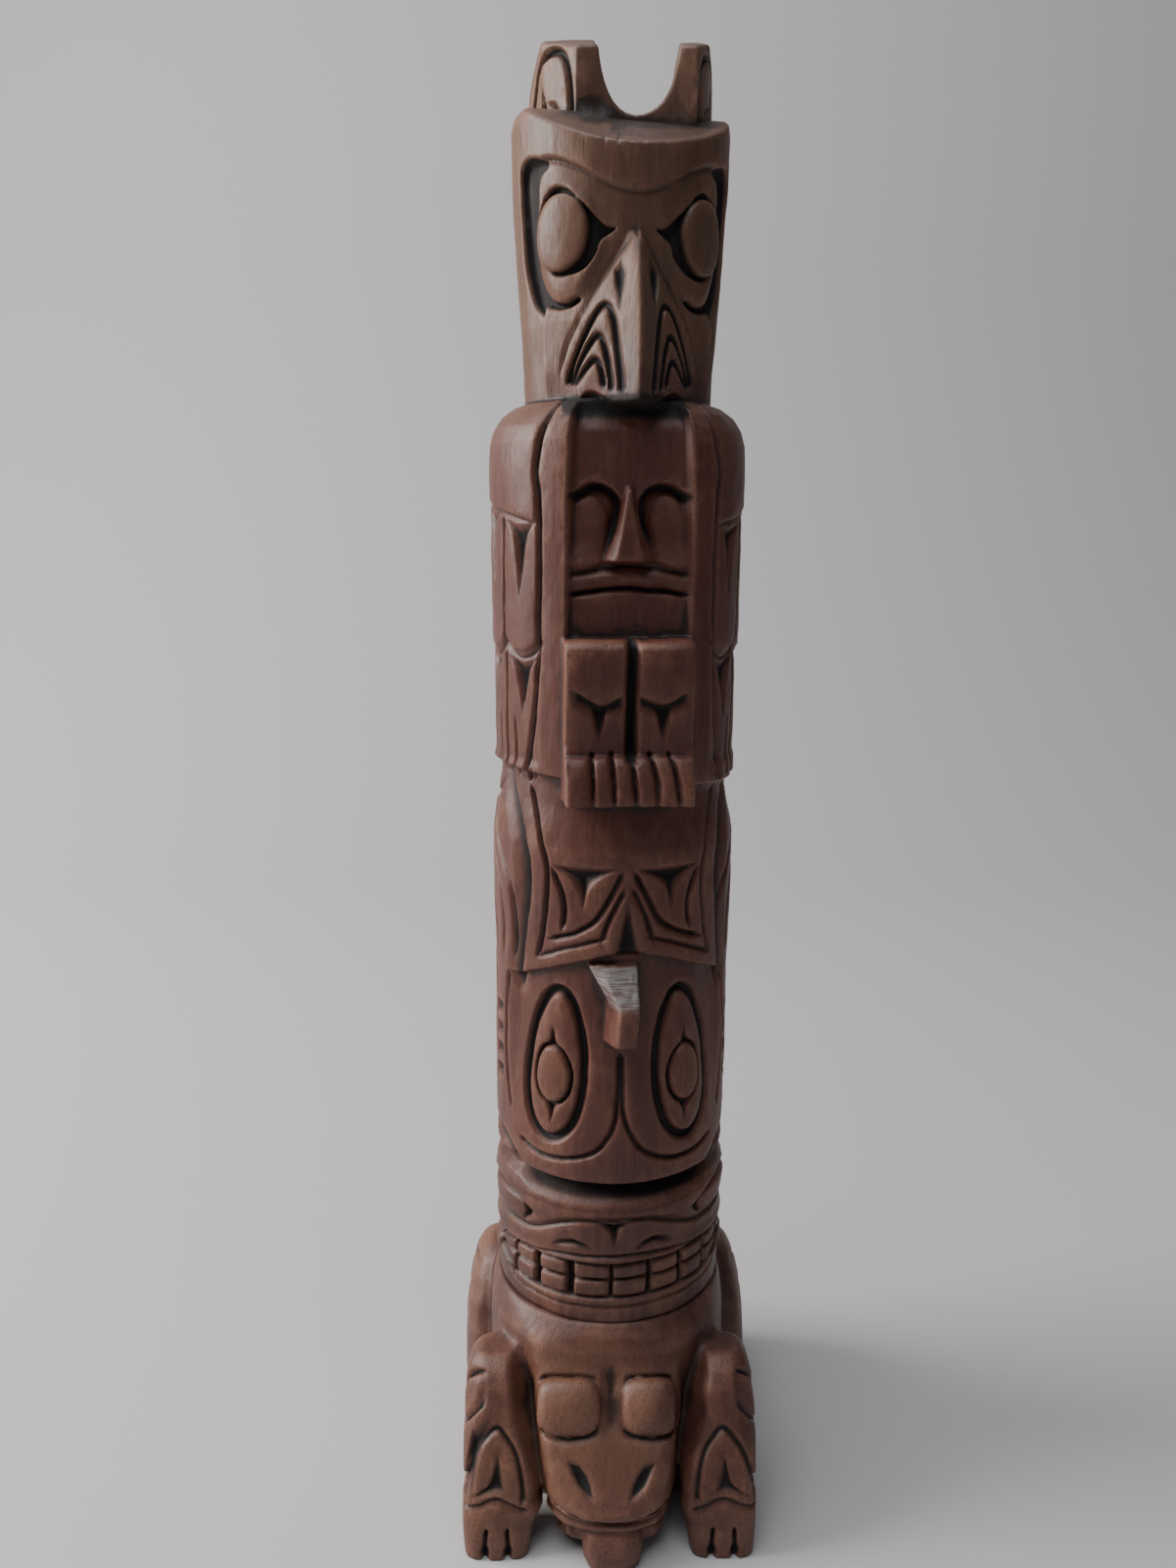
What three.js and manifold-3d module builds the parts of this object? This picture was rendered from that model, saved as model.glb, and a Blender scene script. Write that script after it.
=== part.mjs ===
// A small totem pole carved from one piece of wood.
// Millimetres, +Z up, front towards -Y, origin on the ground under the axis.
// From the ground up: a crouching frog, a bear's head, a whale whose tail is
// folded up over its face, a man sitting between the folded wings of an
// eagle, and the eagle's own head with two tall ears.

import * as THREE from 'three';
import { mergeVertices } from 'three/addons/utils/BufferGeometryUtils.js';
import Module from 'manifold-3d';

const wasm = await Module();
wasm.setup();

// ---------------------------------------------------------------------------
// Driving dimensions
// ---------------------------------------------------------------------------

const POLE_RADIUS = 44.5;        // the turned blank between frog and eagle
const FROG_BACK = 77;            // the bear's chin rests here
const BEAR_TOP = 131;            // dark groove between bear and whale
const WHALE_TOP = 281;           // collar under the feet and wings
const WING_TOP = 408;            // shoulders of the wings, under the head
const HEAD_TOP = 500;            // crown behind the sloping forehead
const EAR_TOP = 531;             // highest point of the two ears

const POLE_SIDES = 24;           // facets round the pole
const CUT_REACH = 1.6;           // how far a cutter stands out of the wall
const TIP_WIDTH = 0.35;          // a groove's ends, as shares of its middle
const TIP_DEPTH = 0.3;
const CRUMB = 0.002;             // anything smaller is swept up at the end

// The carver's centre line wanders a little to the viewer's right.
const BEAR_TURN = 1;             // degrees from the front
const WHALE_TURN = 3;
const PANEL_TURN = 5.5;
const MAN_TURN = 5;
const HEAD_TURN = 7;

// ---------------------------------------------------------------------------
// Small tools
// ---------------------------------------------------------------------------

const radians = THREE.MathUtils.degToRad;

// A closed three.js geometry becomes a solid that can be joined and cut.
function solid(geometry) {
  const bare = geometry.index ? geometry.clone() : geometry;
  bare.deleteAttribute('normal');
  bare.deleteAttribute('uv');
  const merged = mergeVertices(bare, 1e-4);
  return new wasm.Manifold(new wasm.Mesh({
    numProp: 3,
    vertProperties: new Float32Array(merged.attributes.position.array),
    triVerts: new Uint32Array(merged.index.array),
  }));
}

// Points and triangles as a geometry, turned right side out if need be.
function shell(points, triangles) {
  let volume = 0;
  for (const [a, b, c] of triangles) {
    const cross = points[b].clone().cross(points[c]);
    volume += points[a].dot(cross);
  }
  const outward = volume < 0 ? triangles.map(([a, b, c]) => [a, c, b]) : triangles;
  const geometry = new THREE.BufferGeometry().setFromPoints(points);
  geometry.setIndex(outward.flat());
  return geometry;
}

// A skin over rings of equally many points, with a flat fan at either end.
function skin(rings) {
  const count = rings[0].length;
  const points = rings.flat();
  const triangles = [];
  for (let ring = 0; ring + 1 < rings.length; ring += 1) {
    for (let i = 0; i < count; i += 1) {
      const next = (i + 1) % count;
      const [a, b] = [ring * count + i, ring * count + next];
      triangles.push([a, b, b + count], [a, b + count, a + count]);
    }
  }
  const last = (rings.length - 1) * count;
  for (let i = 1; i + 1 < count; i += 1) {
    triangles.push([0, i + 1, i], [last, last + i, last + i + 1]);
  }
  return solid(shell(points, triangles));
}

// One level of a body: an oval with its own reach to each side.
// squareness 2 is an ellipse, 4 is nearly a rounded rectangle.
function oval(low, high, squareness, sides) {
  const middle = [(low[0] + high[0]) / 2, (low[1] + high[1]) / 2];
  const half = [(high[0] - low[0]) / 2, (high[1] - low[1]) / 2];
  return Array.from({ length: sides }, (_, i) => {
    const turn = ((i + 0.5) / sides) * 2 * Math.PI;
    const [c, s] = [Math.cos(turn), Math.sin(turn)];
    const bend = (v) => Math.sign(v) * Math.abs(v) ** (2 / squareness);
    return [middle[0] + half[0] * bend(c), middle[1] + half[1] * bend(s)];
  });
}

// A body built of levels: [height, left, right, front, back, squareness].
function stack(levels, sides) {
  return skin(levels.map(([z, left, right, front, back, squareness]) =>
    oval([left, front], [right, back], squareness, sides)
      .map(([x, y]) => new THREE.Vector3(x, y, z))));
}

// The same along Y: [y, left, right, bottom, top, squareness].
function bow(stations, sides) {
  return skin(stations.map(([y, left, right, bottom, top, squareness]) =>
    oval([left, bottom], [right, top], squareness, sides)
      .map(([x, z]) => new THREE.Vector3(x, y, z))));
}

// A flat outline pushed along Z, then turned by the given matrix.
function slab(outline, depth, matrix = new THREE.Matrix4()) {
  const shape = new THREE.Shape(outline.map(([x, y]) => new THREE.Vector2(x, y)));
  const geometry = new THREE.ExtrudeGeometry(shape, { depth, bevelEnabled: false });
  return solid(geometry.applyMatrix4(matrix));
}

const join = (parts) => parts.reduce((whole, part) => whole.add(part));

// ---------------------------------------------------------------------------
// Walls: where a carver's line is drawn. Each takes across, up and depth.
// Across is in degrees on the round walls and in mm on the flat ones.
// ---------------------------------------------------------------------------

function roundWall(radiusAt, turn) {
  const place = (across, up, depth) => {
    const angle = radians(across + turn);
    const radius = radiusAt(up) - depth;
    return new THREE.Vector3(radius * Math.sin(angle), -radius * Math.cos(angle), up);
  };
  place.step = radians(1) * radiusAt(0);
  return place;
}

function flatWall(distance, turn) {
  const place = (across, up, depth) => {
    const point = new THREE.Vector3(across, depth - distance, up);
    return point.applyAxisAngle(new THREE.Vector3(0, 0, 1), radians(turn));
  };
  place.step = 1;
  return place;
}

// A cut along a path, deepest on the path itself, opening out to its left
// and right by the given widths. Its ends run out to nothing.
function groove(wall, path, left, right, depth, closed = false) {
  const count = path.length;
  const open = (depth + CUT_REACH) / depth;
  const rings = path.map(([across, up], i) => {
    const before = path[closed ? (i + count - 1) % count : Math.max(i - 1, 0)];
    const after = path[closed ? (i + 1) % count : Math.min(i + 1, count - 1)];
    const run = new THREE.Vector2(
      (after[0] - before[0]) * wall.step, after[1] - before[1]).normalize();
    const tip = !closed && (i === 0 || i === count - 1);
    const share = tip ? TIP_WIDTH : 1;
    const side = (width) => wall(
      across - (run.y * width * open * share) / wall.step,
      up + run.x * width * open * share, -CUT_REACH);
    return [side(left), side(-right), wall(across, up, depth * (tip ? TIP_DEPTH : 1))];
  });
  if (closed) {
    const points = rings.flat();
    const triangles = [];
    for (let ring = 0; ring < count; ring += 1) {
      for (let i = 0; i < 3; i += 1) {
        const [a, b] = [ring * 3 + i, ring * 3 + ((i + 1) % 3)];
        const shift = ring === count - 1 ? -(count - 1) * 3 : 3;
        triangles.push([a, b, b + shift], [a, b + shift, a + shift]);
      }
    }
    return solid(shell(points, triangles));
  }
  return skin(rings);
}

// A chip cut: the outline slopes down from all sides to one deep point.
function chip(wall, outline, [deepAcross, deepUp], depth) {
  const flat = outline.map(([across, up]) => new THREE.Vector2(across, up));
  if (THREE.ShapeUtils.isClockWise(flat)) flat.reverse();
  const open = (depth + CUT_REACH) / depth;
  const rim = flat.map(({ x, y }) => wall(
    deepAcross + (x - deepAcross) * open, deepUp + (y - deepUp) * open, -CUT_REACH));
  const lid = THREE.ShapeUtils.triangulateShape(flat, []).map((face) => {
    const clockwise = THREE.ShapeUtils.isClockWise(face.map((i) => flat[i]));
    return clockwise ? [...face].reverse() : face;
  });
  const apex = rim.length;
  const sides = rim.map((_, i) => [(i + 1) % apex, i, apex]);
  return solid(shell([...rim, wall(deepAcross, deepUp, depth)], [...lid, ...sides]));
}

// A line mirrored about the centre of its wall, and both of them as cuts.
const mirrored = (path) => path.map(([across, up]) => [-across, up]).reverse();
const pair = (path, cut) => [cut(path), cut(mirrored(path))];

// Points on an egg: wide below, narrow above, in the wall's own units.
function egg([across, up], [halfAcross, halfUp], narrowing, sides) {
  return Array.from({ length: sides }, (_, i) => {
    const turn = (i / sides) * 2 * Math.PI;
    const lean = 1 - narrowing * Math.sin(turn);
    return [across + halfAcross * lean * Math.cos(turn), up + halfUp * Math.sin(turn)];
  });
}

// ---------------------------------------------------------------------------
// The pole itself, from the frog's back to the eagle's neck
// ---------------------------------------------------------------------------

const POLE_PROFILE = [           // height, radius
  [58, 42], [FROG_BACK, 44], [126, 44], [BEAR_TOP, 40.5], [135, 44.2],
  [212, 44.2], [259, 44.8], [271, 42.4], [WHALE_TOP, 41.4],
  [284, POLE_RADIUS], [396, POLE_RADIUS], [402, 42.8], [406, 39],
  [WING_TOP, 34], [WING_TOP + 2, 31],
];

function profile(levels, up) {
  const above = Math.max(levels.findIndex(([z]) => z >= up), 1);
  const [[z0, r0], [z1, r1]] = [levels[above - 1], levels[above]];
  return THREE.MathUtils.mapLinear(up, z0, z1, r0, r1);
}

function column(levels, sides) {
  return skin(levels.map(([z, radius]) => Array.from({ length: sides }, (_, i) => {
    const angle = (i / sides) * 2 * Math.PI;
    return new THREE.Vector3(radius * Math.sin(angle), -radius * Math.cos(angle), z);
  })));
}

const pole = column(POLE_PROFILE, POLE_SIDES);

// The whale's face leans back under its tail, most just below the tail.
const FACE_DIP = [[120, 0], [150, 0], [190, 1.7], [240, 3.4]];
const faceDip = (up) => profile(FACE_DIP, up);

const blankWall = (turn) => roundWall(() => POLE_RADIUS, turn);
const whaleWall = roundWall((up) => 44.2 - faceDip(up), WHALE_TURN);
const bearWall = roundWall(() => 44, BEAR_TURN);
const panelWall = roundWall(() => 44.8, PANEL_TURN);
const wingWall = blankWall(MAN_TURN);

// A line level round the pole, with a point every `stride` degrees.
function level(up, from, to, stride = 22) {
  const count = Math.max(2, Math.round(Math.abs(to - from) / stride) + 1);
  return Array.from({ length: count }, (_, i) => {
    const across = THREE.MathUtils.lerp(from, to, i / (count - 1));
    return [across, typeof up === 'function' ? up(across) : up];
  });
}

// ---------------------------------------------------------------------------
// Frog: trunk, head with square eyes, tongue, arms, haunches
// ---------------------------------------------------------------------------

const HAND_REACH = 71;           // claws, in front of the axis

function frogTrunk() {
  return stack([
    [0, -46, 46, -41, 57, 4], [26, -47, 46.5, -42, 58, 4],
    [50, -47.5, 46.5, -45, 57, 3.2], [62, -47.2, 46.2, -48.5, 54, 2.6],
    [71, -46.5, 45.6, -48.5, 50, 2.3], [FROG_BACK + 1, -44, 43.5, -43.5, 44, 2.1],
  ], 24);
}

function frogHead() {
  const nape = stack([
    [18, -28, 28, -56, -30, 4], [46, -28.5, 27.5, -56.5, -30, 4],
    [61, -28.5, 27, -56, -30, 4], [68, -27.5, 26.5, -51, -30, 4],
    [75.5, -25, 25, -44, -30, 4],
  ], 12);
  const snout = bow([
    [-38, -27.5, 27.5, 14, 62, 6], [-54, -27, 26.5, 15, 56, 6],
    [-62, -25.5, 25, 16, 44.5, 6], [-69, -23.5, 23, 17, 33, 5],
    [-73, -21, 20.5, 18.5, 26, 4], [-74.5, -17, 16.5, 20, 23.5, 3],
  ], 16);
  const jaw = bow([
    [-38, -22, 22, 3, 16, 4], [-60, -20.5, 20.5, 4, 16, 4],
    [-68, -18.5, 18.5, 5.5, 16, 4], [-71, -14, 14, 8, 15, 3],
  ], 12);
  const lip = bow([
    [-50, -22.5, 22.5, 14.5, 19, 4], [-66, -22, 22, 14.5, 19, 4],
    [-71, -19, 19, 14.5, 19, 3], [-73, -14, 14, 15, 18.5, 3],
  ], 12);
  const tongue = stack([
    [0, -9, 9.5, -76, -60, 3], [3, -10.3, 11, -78.5, -60, 3],
    [9, -10.6, 11.3, -78, -60, 3], [14, -10, 10.8, -75, -60, 3],
    [17, -7, 8, -71, -60, 3],
  ], 12);
  return [nape, snout, jaw, lip, tongue];
}

// Each eye is a square dome set in the slope of the brow.
function frogEyes() {
  const slope = new THREE.Matrix4().makeRotationX(radians(62));
  return [[-15.6, 1], [13.8, 0.87]].map(([across, width]) => {
    const levels = [[-6, 11.4], [0.5, 11.4], [2.6, 10], [3.8, 7]];
    const rings = levels.map(([lift, half]) =>
      oval([-half * width, -half * 0.84], [half * width, half * 0.84], 4, 12).map(([x, y]) =>
        new THREE.Vector3(x, y - 1, lift).applyMatrix4(slope)
          .add(new THREE.Vector3(across, -55.5, 53))));
    return skin(rings);
  });
}

function frogArm(side) {
  const levels = [
    // height, outside, inside, front, back
    [0, 53.5, 30.5, -HAND_REACH, -50],
    [20, 54.4, 28, -68.5, -42], [34, 54.8, 30, -63, -36],
    [48, 54.4, 32.5, -56, -30], [56, 53.4, 34, -51.5, -28],
    [60.5, 52, 35.5, -48, -28], [63.5, 49.5, 38, -43.5, -29],
  ];
  return stack(levels.map(([z, outside, inside, front, back]) => side < 0
    ? [z, -outside, -inside, front, back, 4.5]
    : [z, inside - 0.5, outside - 1.5, front, back, 4.5]), 10);
}

function frogHaunch(side) {
  const levels = [
    // height, outside, front, back
    [0, 57.5, -8, 50], [22, 60.3, -9, 56],
    [44, 60, -5, 54.5], [54, 58.8, -1, 50], [63, 56.6, 4, 43.5], [72, 51, 13, 32],
  ];
  return stack(levels.map(([z, outside, front, back]) => side < 0
    ? [z, -outside, -36, front, back, 2.8]
    : [z, 36, outside - 0.5, front, back, 2.8]), 12);
}

const armWall = (side) => {
  // The front of an arm leans back as it rises from the claws.
  const lean = [[0, 71], [20, 68.5], [34, 63], [48, 56], [56, 51.5], [63.5, 43.5]];
  const place = (across, up, depth) =>
    new THREE.Vector3(side * (41.5 + across), depth - profile(lean, up), up);
  place.step = 1;
  return place;
};

function frogCuts() {
  const cuts = [];
  for (const side of [-1, 1]) {
    const wall = armWall(side);
    for (const across of [-4.2, 4.2]) {
      cuts.push(groove(wall, [[across, -1], [across, 9], [across * 0.9, 15]], 1.8, 1.8, 5));
    }
    cuts.push(groove(wall, [[-11, 18], [0, 22.5], [11, 18]], 0.6, 3, 1.6));
    const hand = [[-8.5, 21], [-7, 36], [0, 44.5], [7, 36], [8.5, 21]];
    cuts.push(groove(wall, hand, 2.4, 0.5, 2.2));
    cuts.push(chip(wall, [[0, 38], [1.5, 29], [7, 24], [0, 25.5], [-7, 24], [-1.5, 29]],
      [0, 28], 2.6));
    const shoulder = (across, up, depth) => new THREE.Vector3(
      side * (54.2 - depth), -44 + across, up);
    shoulder.step = 1;
    cuts.push(groove(shoulder, egg([0, 50], [4.6, 9.5], 0.1, 8), 1.1, 1.1, 2.4, true));
  }
  // The face plate of the snout lies in its own slope.
  const snout = (across, along, depth) => new THREE.Vector3(
    across - 0.3, -56 - along * 0.55 + depth * 0.85, 54 - along * 0.85 + depth * 0.55);
  snout.step = 1;
  for (const side of [-1, 1]) {
    const slit = [[14.5, 13], [9.5, 17.5], [5.8, 25], [11.5, 22]];
    cuts.push(chip(snout, slit.map(([x, s]) => [side * x, s]), [side * 10, 20], 2.6));
  }
  const muzzle = flatWall(74.5, 0);
  cuts.push(groove(muzzle, [[-24, 21], [-10, 19.8], [10, 19.8], [24, 21]], 0.8, 0.8, 3));
  return cuts;
}

// ---------------------------------------------------------------------------
// Bear: brow, side eyes, nose, two rows of teeth
// ---------------------------------------------------------------------------

function bearCuts() {
  const wide = 88;               // the mouth runs on round to the ears
  const cuts = [];
  const line = (path, left, right, depth) =>
    cuts.push(groove(bearWall, path, left, right, depth));
  line(level((a) => 119.5 - 8 * (a / 60) ** 4, -58, 58), 0.4, 3.4, 1.5);
  line(level((a) => 105.6 - 9.5 * (a / 84) ** 2, -wide, wide), 0.5, 1.8, 1.8);
  const teethTop = (a) => 101.8 - 4.5 * (a / 90) ** 4;
  line(level(teethTop, -wide, wide), 0.5, 1.6, 2.2);
  line(level(95.4, -wide, wide), 0.9, 0.9, 1.2);
  line(level(88.7, -wide, wide), 1.6, 0.5, 2.2);
  const toothWidth = 18.3;       // degrees
  for (let tooth = -4; tooth <= 4; tooth += 1) {
    const across = tooth * toothWidth - 1.9;
    const gap = tooth === 0 ? 0.5 : 1.3;
    line([[across, 101.5], [across, 89]], gap, gap, 2.6);
  }
  cuts.push(chip(bearWall, [[-8, 119.8], [0, 118.6], [8, 119.8], [0, 111]], [0, 116.4], 3));
  for (const side of [-1, 1]) {
    const nostril = [[8, 107.3], [14, 110.6], [20, 111.6], [27, 110.2], [31.5, 107.3],
      [20, 108.6]];
    cuts.push(chip(bearWall, nostril.map(([a, z]) => [side * a, z]), [side * 20, 110], 2.2));
    const eye = [[43, 116.5], [54, 121.8], [70, 123.4], [88, 118], [74, 112], [56, 112.4]];
    cuts.push(groove(bearWall, eye.map(([a, z]) => [side * a, z]), 1.2, 1.2, 2, true));
    const inner = [[44, 117], [51, 121], [50, 117], [51.5, 112.6]];
    cuts.push(chip(bearWall, inner.map(([a, z]) => [side * a, z]), [side * 48.6, 117], 2.6));
  }
  return cuts;
}

// ---------------------------------------------------------------------------
// Whale: lips over the bear, eyes, nose fin, tail panel folded up in front
// ---------------------------------------------------------------------------

const EYE_ACROSS = 33;           // degrees from the nose
const EYE_MIDDLE = 177;

function whaleFin() {
  // A wedge that stands out from the wall: a rough slope above, a narrow front.
  const rings = [
    [190.5, -4, -1, 6, 6.5, -50.5], [193, -5, -0.5, 6.4, 7, -53],
    [205.5, -7, 0.4, 6.8, 7.5, -54.5], [208, -8, -1.5, 7, 7.8, -53],
    [218.5, -9.5, -8.5, 7.5, 8.4, -42.6],
  ].map(([z, wallLeft, left, right, wallRight, front]) => [
    new THREE.Vector3(wallLeft, -36, z), new THREE.Vector3(left, front, z),
    new THREE.Vector3(right, front, z), new THREE.Vector3(wallRight, -36, z),
  ]);
  return skin(rings);
}

// The panel's lower edge is a shallow arch that stands over the face.
const panelArch = (across) => 224.5 - 11 * ((across - 3) / 50) ** 2;

function faceCut() {
  const wall = roundWall(() => 44.2, WHALE_TURN);
  return skin(level(0, -56, 56, 14).map(([across]) => {
    const share = 1 - THREE.MathUtils.smoothstep(Math.abs(across), 44, 56);
    const top = panelArch(across);
    return [
      [150, -CUT_REACH], [top, -CUT_REACH], [top, faceDip(top) * share],
      [190, faceDip(190) * share], [150, 0],
    ].map(([up, depth]) => wall(across, up, depth));
  }));
}

function whaleFaceCuts() {
  const cuts = [];
  // Under the lips the pole is cut back all the way round the front.
  const lipLine = (a) => 132.2 + 14 * THREE.MathUtils.smoothstep(Math.abs(a), 32, 62);
  cuts.push(groove(blankWall(WHALE_TURN), level(lipLine, -96, 96, 16), 0.6, 5.5, 4.6));
  for (const side of [-1, 1]) {
    const across = side * EYE_ACROSS;
    const socket = egg([across, 179], [16, 27], 0.14, 12)
      .map(([a, z]) => [a - side * 0.07 * (z - 179), z]);
    cuts.push(groove(whaleWall, socket, 1.9, 1.9, 2.6, true));
    cuts.push(groove(whaleWall, egg([across, EYE_MIDDLE - 0.5], [10, 12], 0, 8),
      1, 1, 1.9, true));
    for (const [base, point] of [[186.5, 195.5], [166.5, 156.5]]) {
      const middle = (base + point) / 2;
      const drop = [[across - 4.2, base], [across, base + (point - base) * 0.2],
        [across + 4.2, base], [across, point]];
      cuts.push(chip(whaleWall, drop, [across, THREE.MathUtils.lerp(base, middle, 0.6)], 2.4));
    }
    const cheek = [[0, 184], [1, 166], [5, 156], [12, 148.5], [24, 143.8], [38, 143.6],
      [53, 146.5]];
    cuts.push(groove(whaleWall, cheek.map(([a, z]) => [side * a, z]), 1.1, 1.1, 1.9));
  }
  return cuts;
}

const PANEL_HALF = [[284, 53], [268, 50], [254, 45], [236, 45.5], [222, 48.5], [212, 50.5]];

function panelCuts() {
  const cuts = [];
  const line = (path, left, right, depth) => cuts.push(
    ...pair(path, (p) => groove(panelWall, p, left, right, depth)));
  const edge = PANEL_HALF.map(([z, a]) => [a, z]);
  // Beside the panel the wall steps back and runs out to the pole's sides.
  cuts.push(groove(panelWall, edge, 8.5, 0.4, 3));
  cuts.push(groove(panelWall, mirrored(edge), 8.5, 0.4, 3));
  line([[44, 275], [38.6, 254], [37.8, 238], [41, 221]], 0.9, 0.9, 1.5);
  line([[10, 228], [26, 225.4], [41, 220.5]], 0.9, 0.9, 1.5);
  const crossing = [[3.2, 252.5], [12, 238], [21, 231.8], [36, 227.5]];
  line(crossing, 1, 1, 1.6);
  line([[1.6, 246.5], [8, 237], [12.5, 226.8]], 1, 1, 1.6);
  line([[37, 252.5], [29.5, 242], [30, 231]], 1, 1, 1.6);
  for (const side of [-1, 1]) {
    const tee = [[35, 253.4], [3.4, 253.4], [15, 250], [20, 240.5], [23.5, 250]];
    cuts.push(chip(panelWall, tee.map(([a, z]) => [side * a, z]), [side * 19.6, 250.5], 2.8));
  }
  cuts.push(chip(panelWall, [[0, 243], [3, 231], [7.2, 222], [0, 222], [-7.2, 222], [-3, 231]],
    [0, 226], 3.4));
  return cuts;
}

// On the whale's flanks, fins are drawn with long curved lines.
function flankCuts() {
  const cuts = [];
  const wall = blankWall(WHALE_TURN);
  const line = (path, left, right, depth) => cuts.push(
    ...pair(path, (p) => groove(wall, p, left, right, depth)));
  line([[66, 274], [60.8, 256], [61.5, 234], [70, 216]], 1.4, 1.4, 2.2);
  line([[84, 276], [72, 257], [70.5, 237], [77, 222], [88, 214]], 1.2, 1.2, 2);
  line([[64, 208], [66.5, 182], [62, 156]], 1.2, 1.2, 2);
  line([[80, 206], [84, 184], [78, 160]], 1.2, 1.2, 2);
  for (const side of [-1, 1]) {
    for (const up of [168, 178, 188]) {
      const notch = [[70.5, up - 2.4], [78.5, up - 2.4], [78.5, up + 2.4], [70.5, up + 2.4]];
      cuts.push(chip(wall, notch.map(([a, z]) => [side * a, z]), [side * 74.5, up], 2.2));
    }
  }
  return cuts;
}

// ---------------------------------------------------------------------------
// Eagle's wings, and the man who sits between them
// ---------------------------------------------------------------------------

const NICHE_HALF = 21;           // half the width between the wings
const NICHE_PLANE = 36;          // the man's face, in front of the axis
const NICHE_TOP = 410;
const KNEE_TOP = 332;
const FOOT_TOP = 293.5;
const FOOT_BOTTOM = 277;

const turned = (degrees) => new THREE.Matrix4().makeRotationZ(radians(degrees));

function niche() {
  const outline = [
    [-NICHE_HALF - 0.5, -60], [NICHE_HALF + 0.5, -60],
    [NICHE_HALF, -NICHE_PLANE], [-NICHE_HALF, -NICHE_PLANE],
  ];
  const lift = new THREE.Matrix4().makeTranslation(0, 0, FOOT_BOTTOM + 2);
  return slab(outline, NICHE_TOP - FOOT_BOTTOM - 2, turned(MAN_TURN).multiply(lift));
}

// Knees, shins and feet are one block; each level is [height, front, half].
function manLegs() {
  const levels = [
    [FOOT_BOTTOM, 53.5, 20.6], [282, 53, 20.9], [287, 51.6, 21.2], [292, 49.6, 21.4],
    [FOOT_TOP, 48, 21.4], [FOOT_TOP + 0.6, 46.4, 21.4], [302, 47.2, 21.6],
    [312, 48.4, 21.6], [322, 49.4, 21.4], [329, 49.4, 21], [331.4, 48, 20.6],
    [KNEE_TOP, 45, 20.2],
  ];
  const rings = levels.map(([z, front, half]) => [
    [-half - 1, -30], [-half - 0.6, -front + 8], [-half + 2, -front], [half - 1, -front],
    [half + 0.4, -front + 6], [half + 0.4, -30],
  ].map(([x, y]) => new THREE.Vector3(x, y, z).applyMatrix4(turned(MAN_TURN))));
  return skin(rings);
}

function manNose() {
  const plane = -NICHE_PLANE;
  const rings = [
    [357, 10, 6.8], [358.5, 9.6, 7], [366, 5.6, 5.6], [374, 3.4, 4], [379.5, 3.2, 1.4],
  ].map(([z, half, out]) => [
    [-half, plane + 4], [-half, plane + 3], [-half * 0.3, plane - out],
    [half * 0.3, plane - out], [half, plane + 3], [half, plane + 4],
  ].map(([x, y]) => new THREE.Vector3(x, y, z).applyMatrix4(turned(MAN_TURN))));
  return skin(rings);
}

function manCuts() {
  const face = flatWall(NICHE_PLANE, MAN_TURN);
  const legs = flatWall(49, MAN_TURN);
  const feet = flatWall(52, MAN_TURN);
  const cuts = [];
  for (const side of [-1, 1]) {
    const brow = [[21.5, 373], [17, 380], [10.5, 382.5], [5, 380], [4.2, 371], [9.5, 359]];
    const path = brow.map(([x, z]) => [side * x, z]);
    cuts.push(groove(face, path, side > 0 ? 7 : 0.6, side > 0 ? 0.6 : 7, 4.2));
    const knee = [[19.5, 314.5], [10, 310.2], [2, 313]];
    cuts.push(groove(legs, knee.map(([x, z]) => [side * x, z]),
      side > 0 ? 4.5 : 0.6, side > 0 ? 0.6 : 4.5, 2.2));
    const wedge = [[6.8, 312], [10, 310.5], [13.2, 312], [10.3, 301]];
    cuts.push(chip(legs, wedge.map(([x, z]) => [side * x, z]), [side * 10.2, 309], 3.4));
  }
  cuts.push(groove(legs, [[0, 336], [0, 328], [0, 296]], 2.4, 2.4, 5));
  for (let gap = -2; gap <= 2; gap += 1) {
    const across = gap * 6.9;
    cuts.push(groove(feet, [[across, 296], [across + 0.5, 287], [across + 0.9, 273]],
      1.3, 1.3, 3.4));
  }
  const lips = (z, drop) => level((x) => z - drop * (x / 20) ** 2, -22, 22, 7.4);
  cuts.push(groove(face, lips(355, 2.8), 0.8, 2.4, 2));
  cuts.push(groove(face, lips(348.8, 2.6), 0.6, 1.6, 3));
  return cuts;
}

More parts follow.
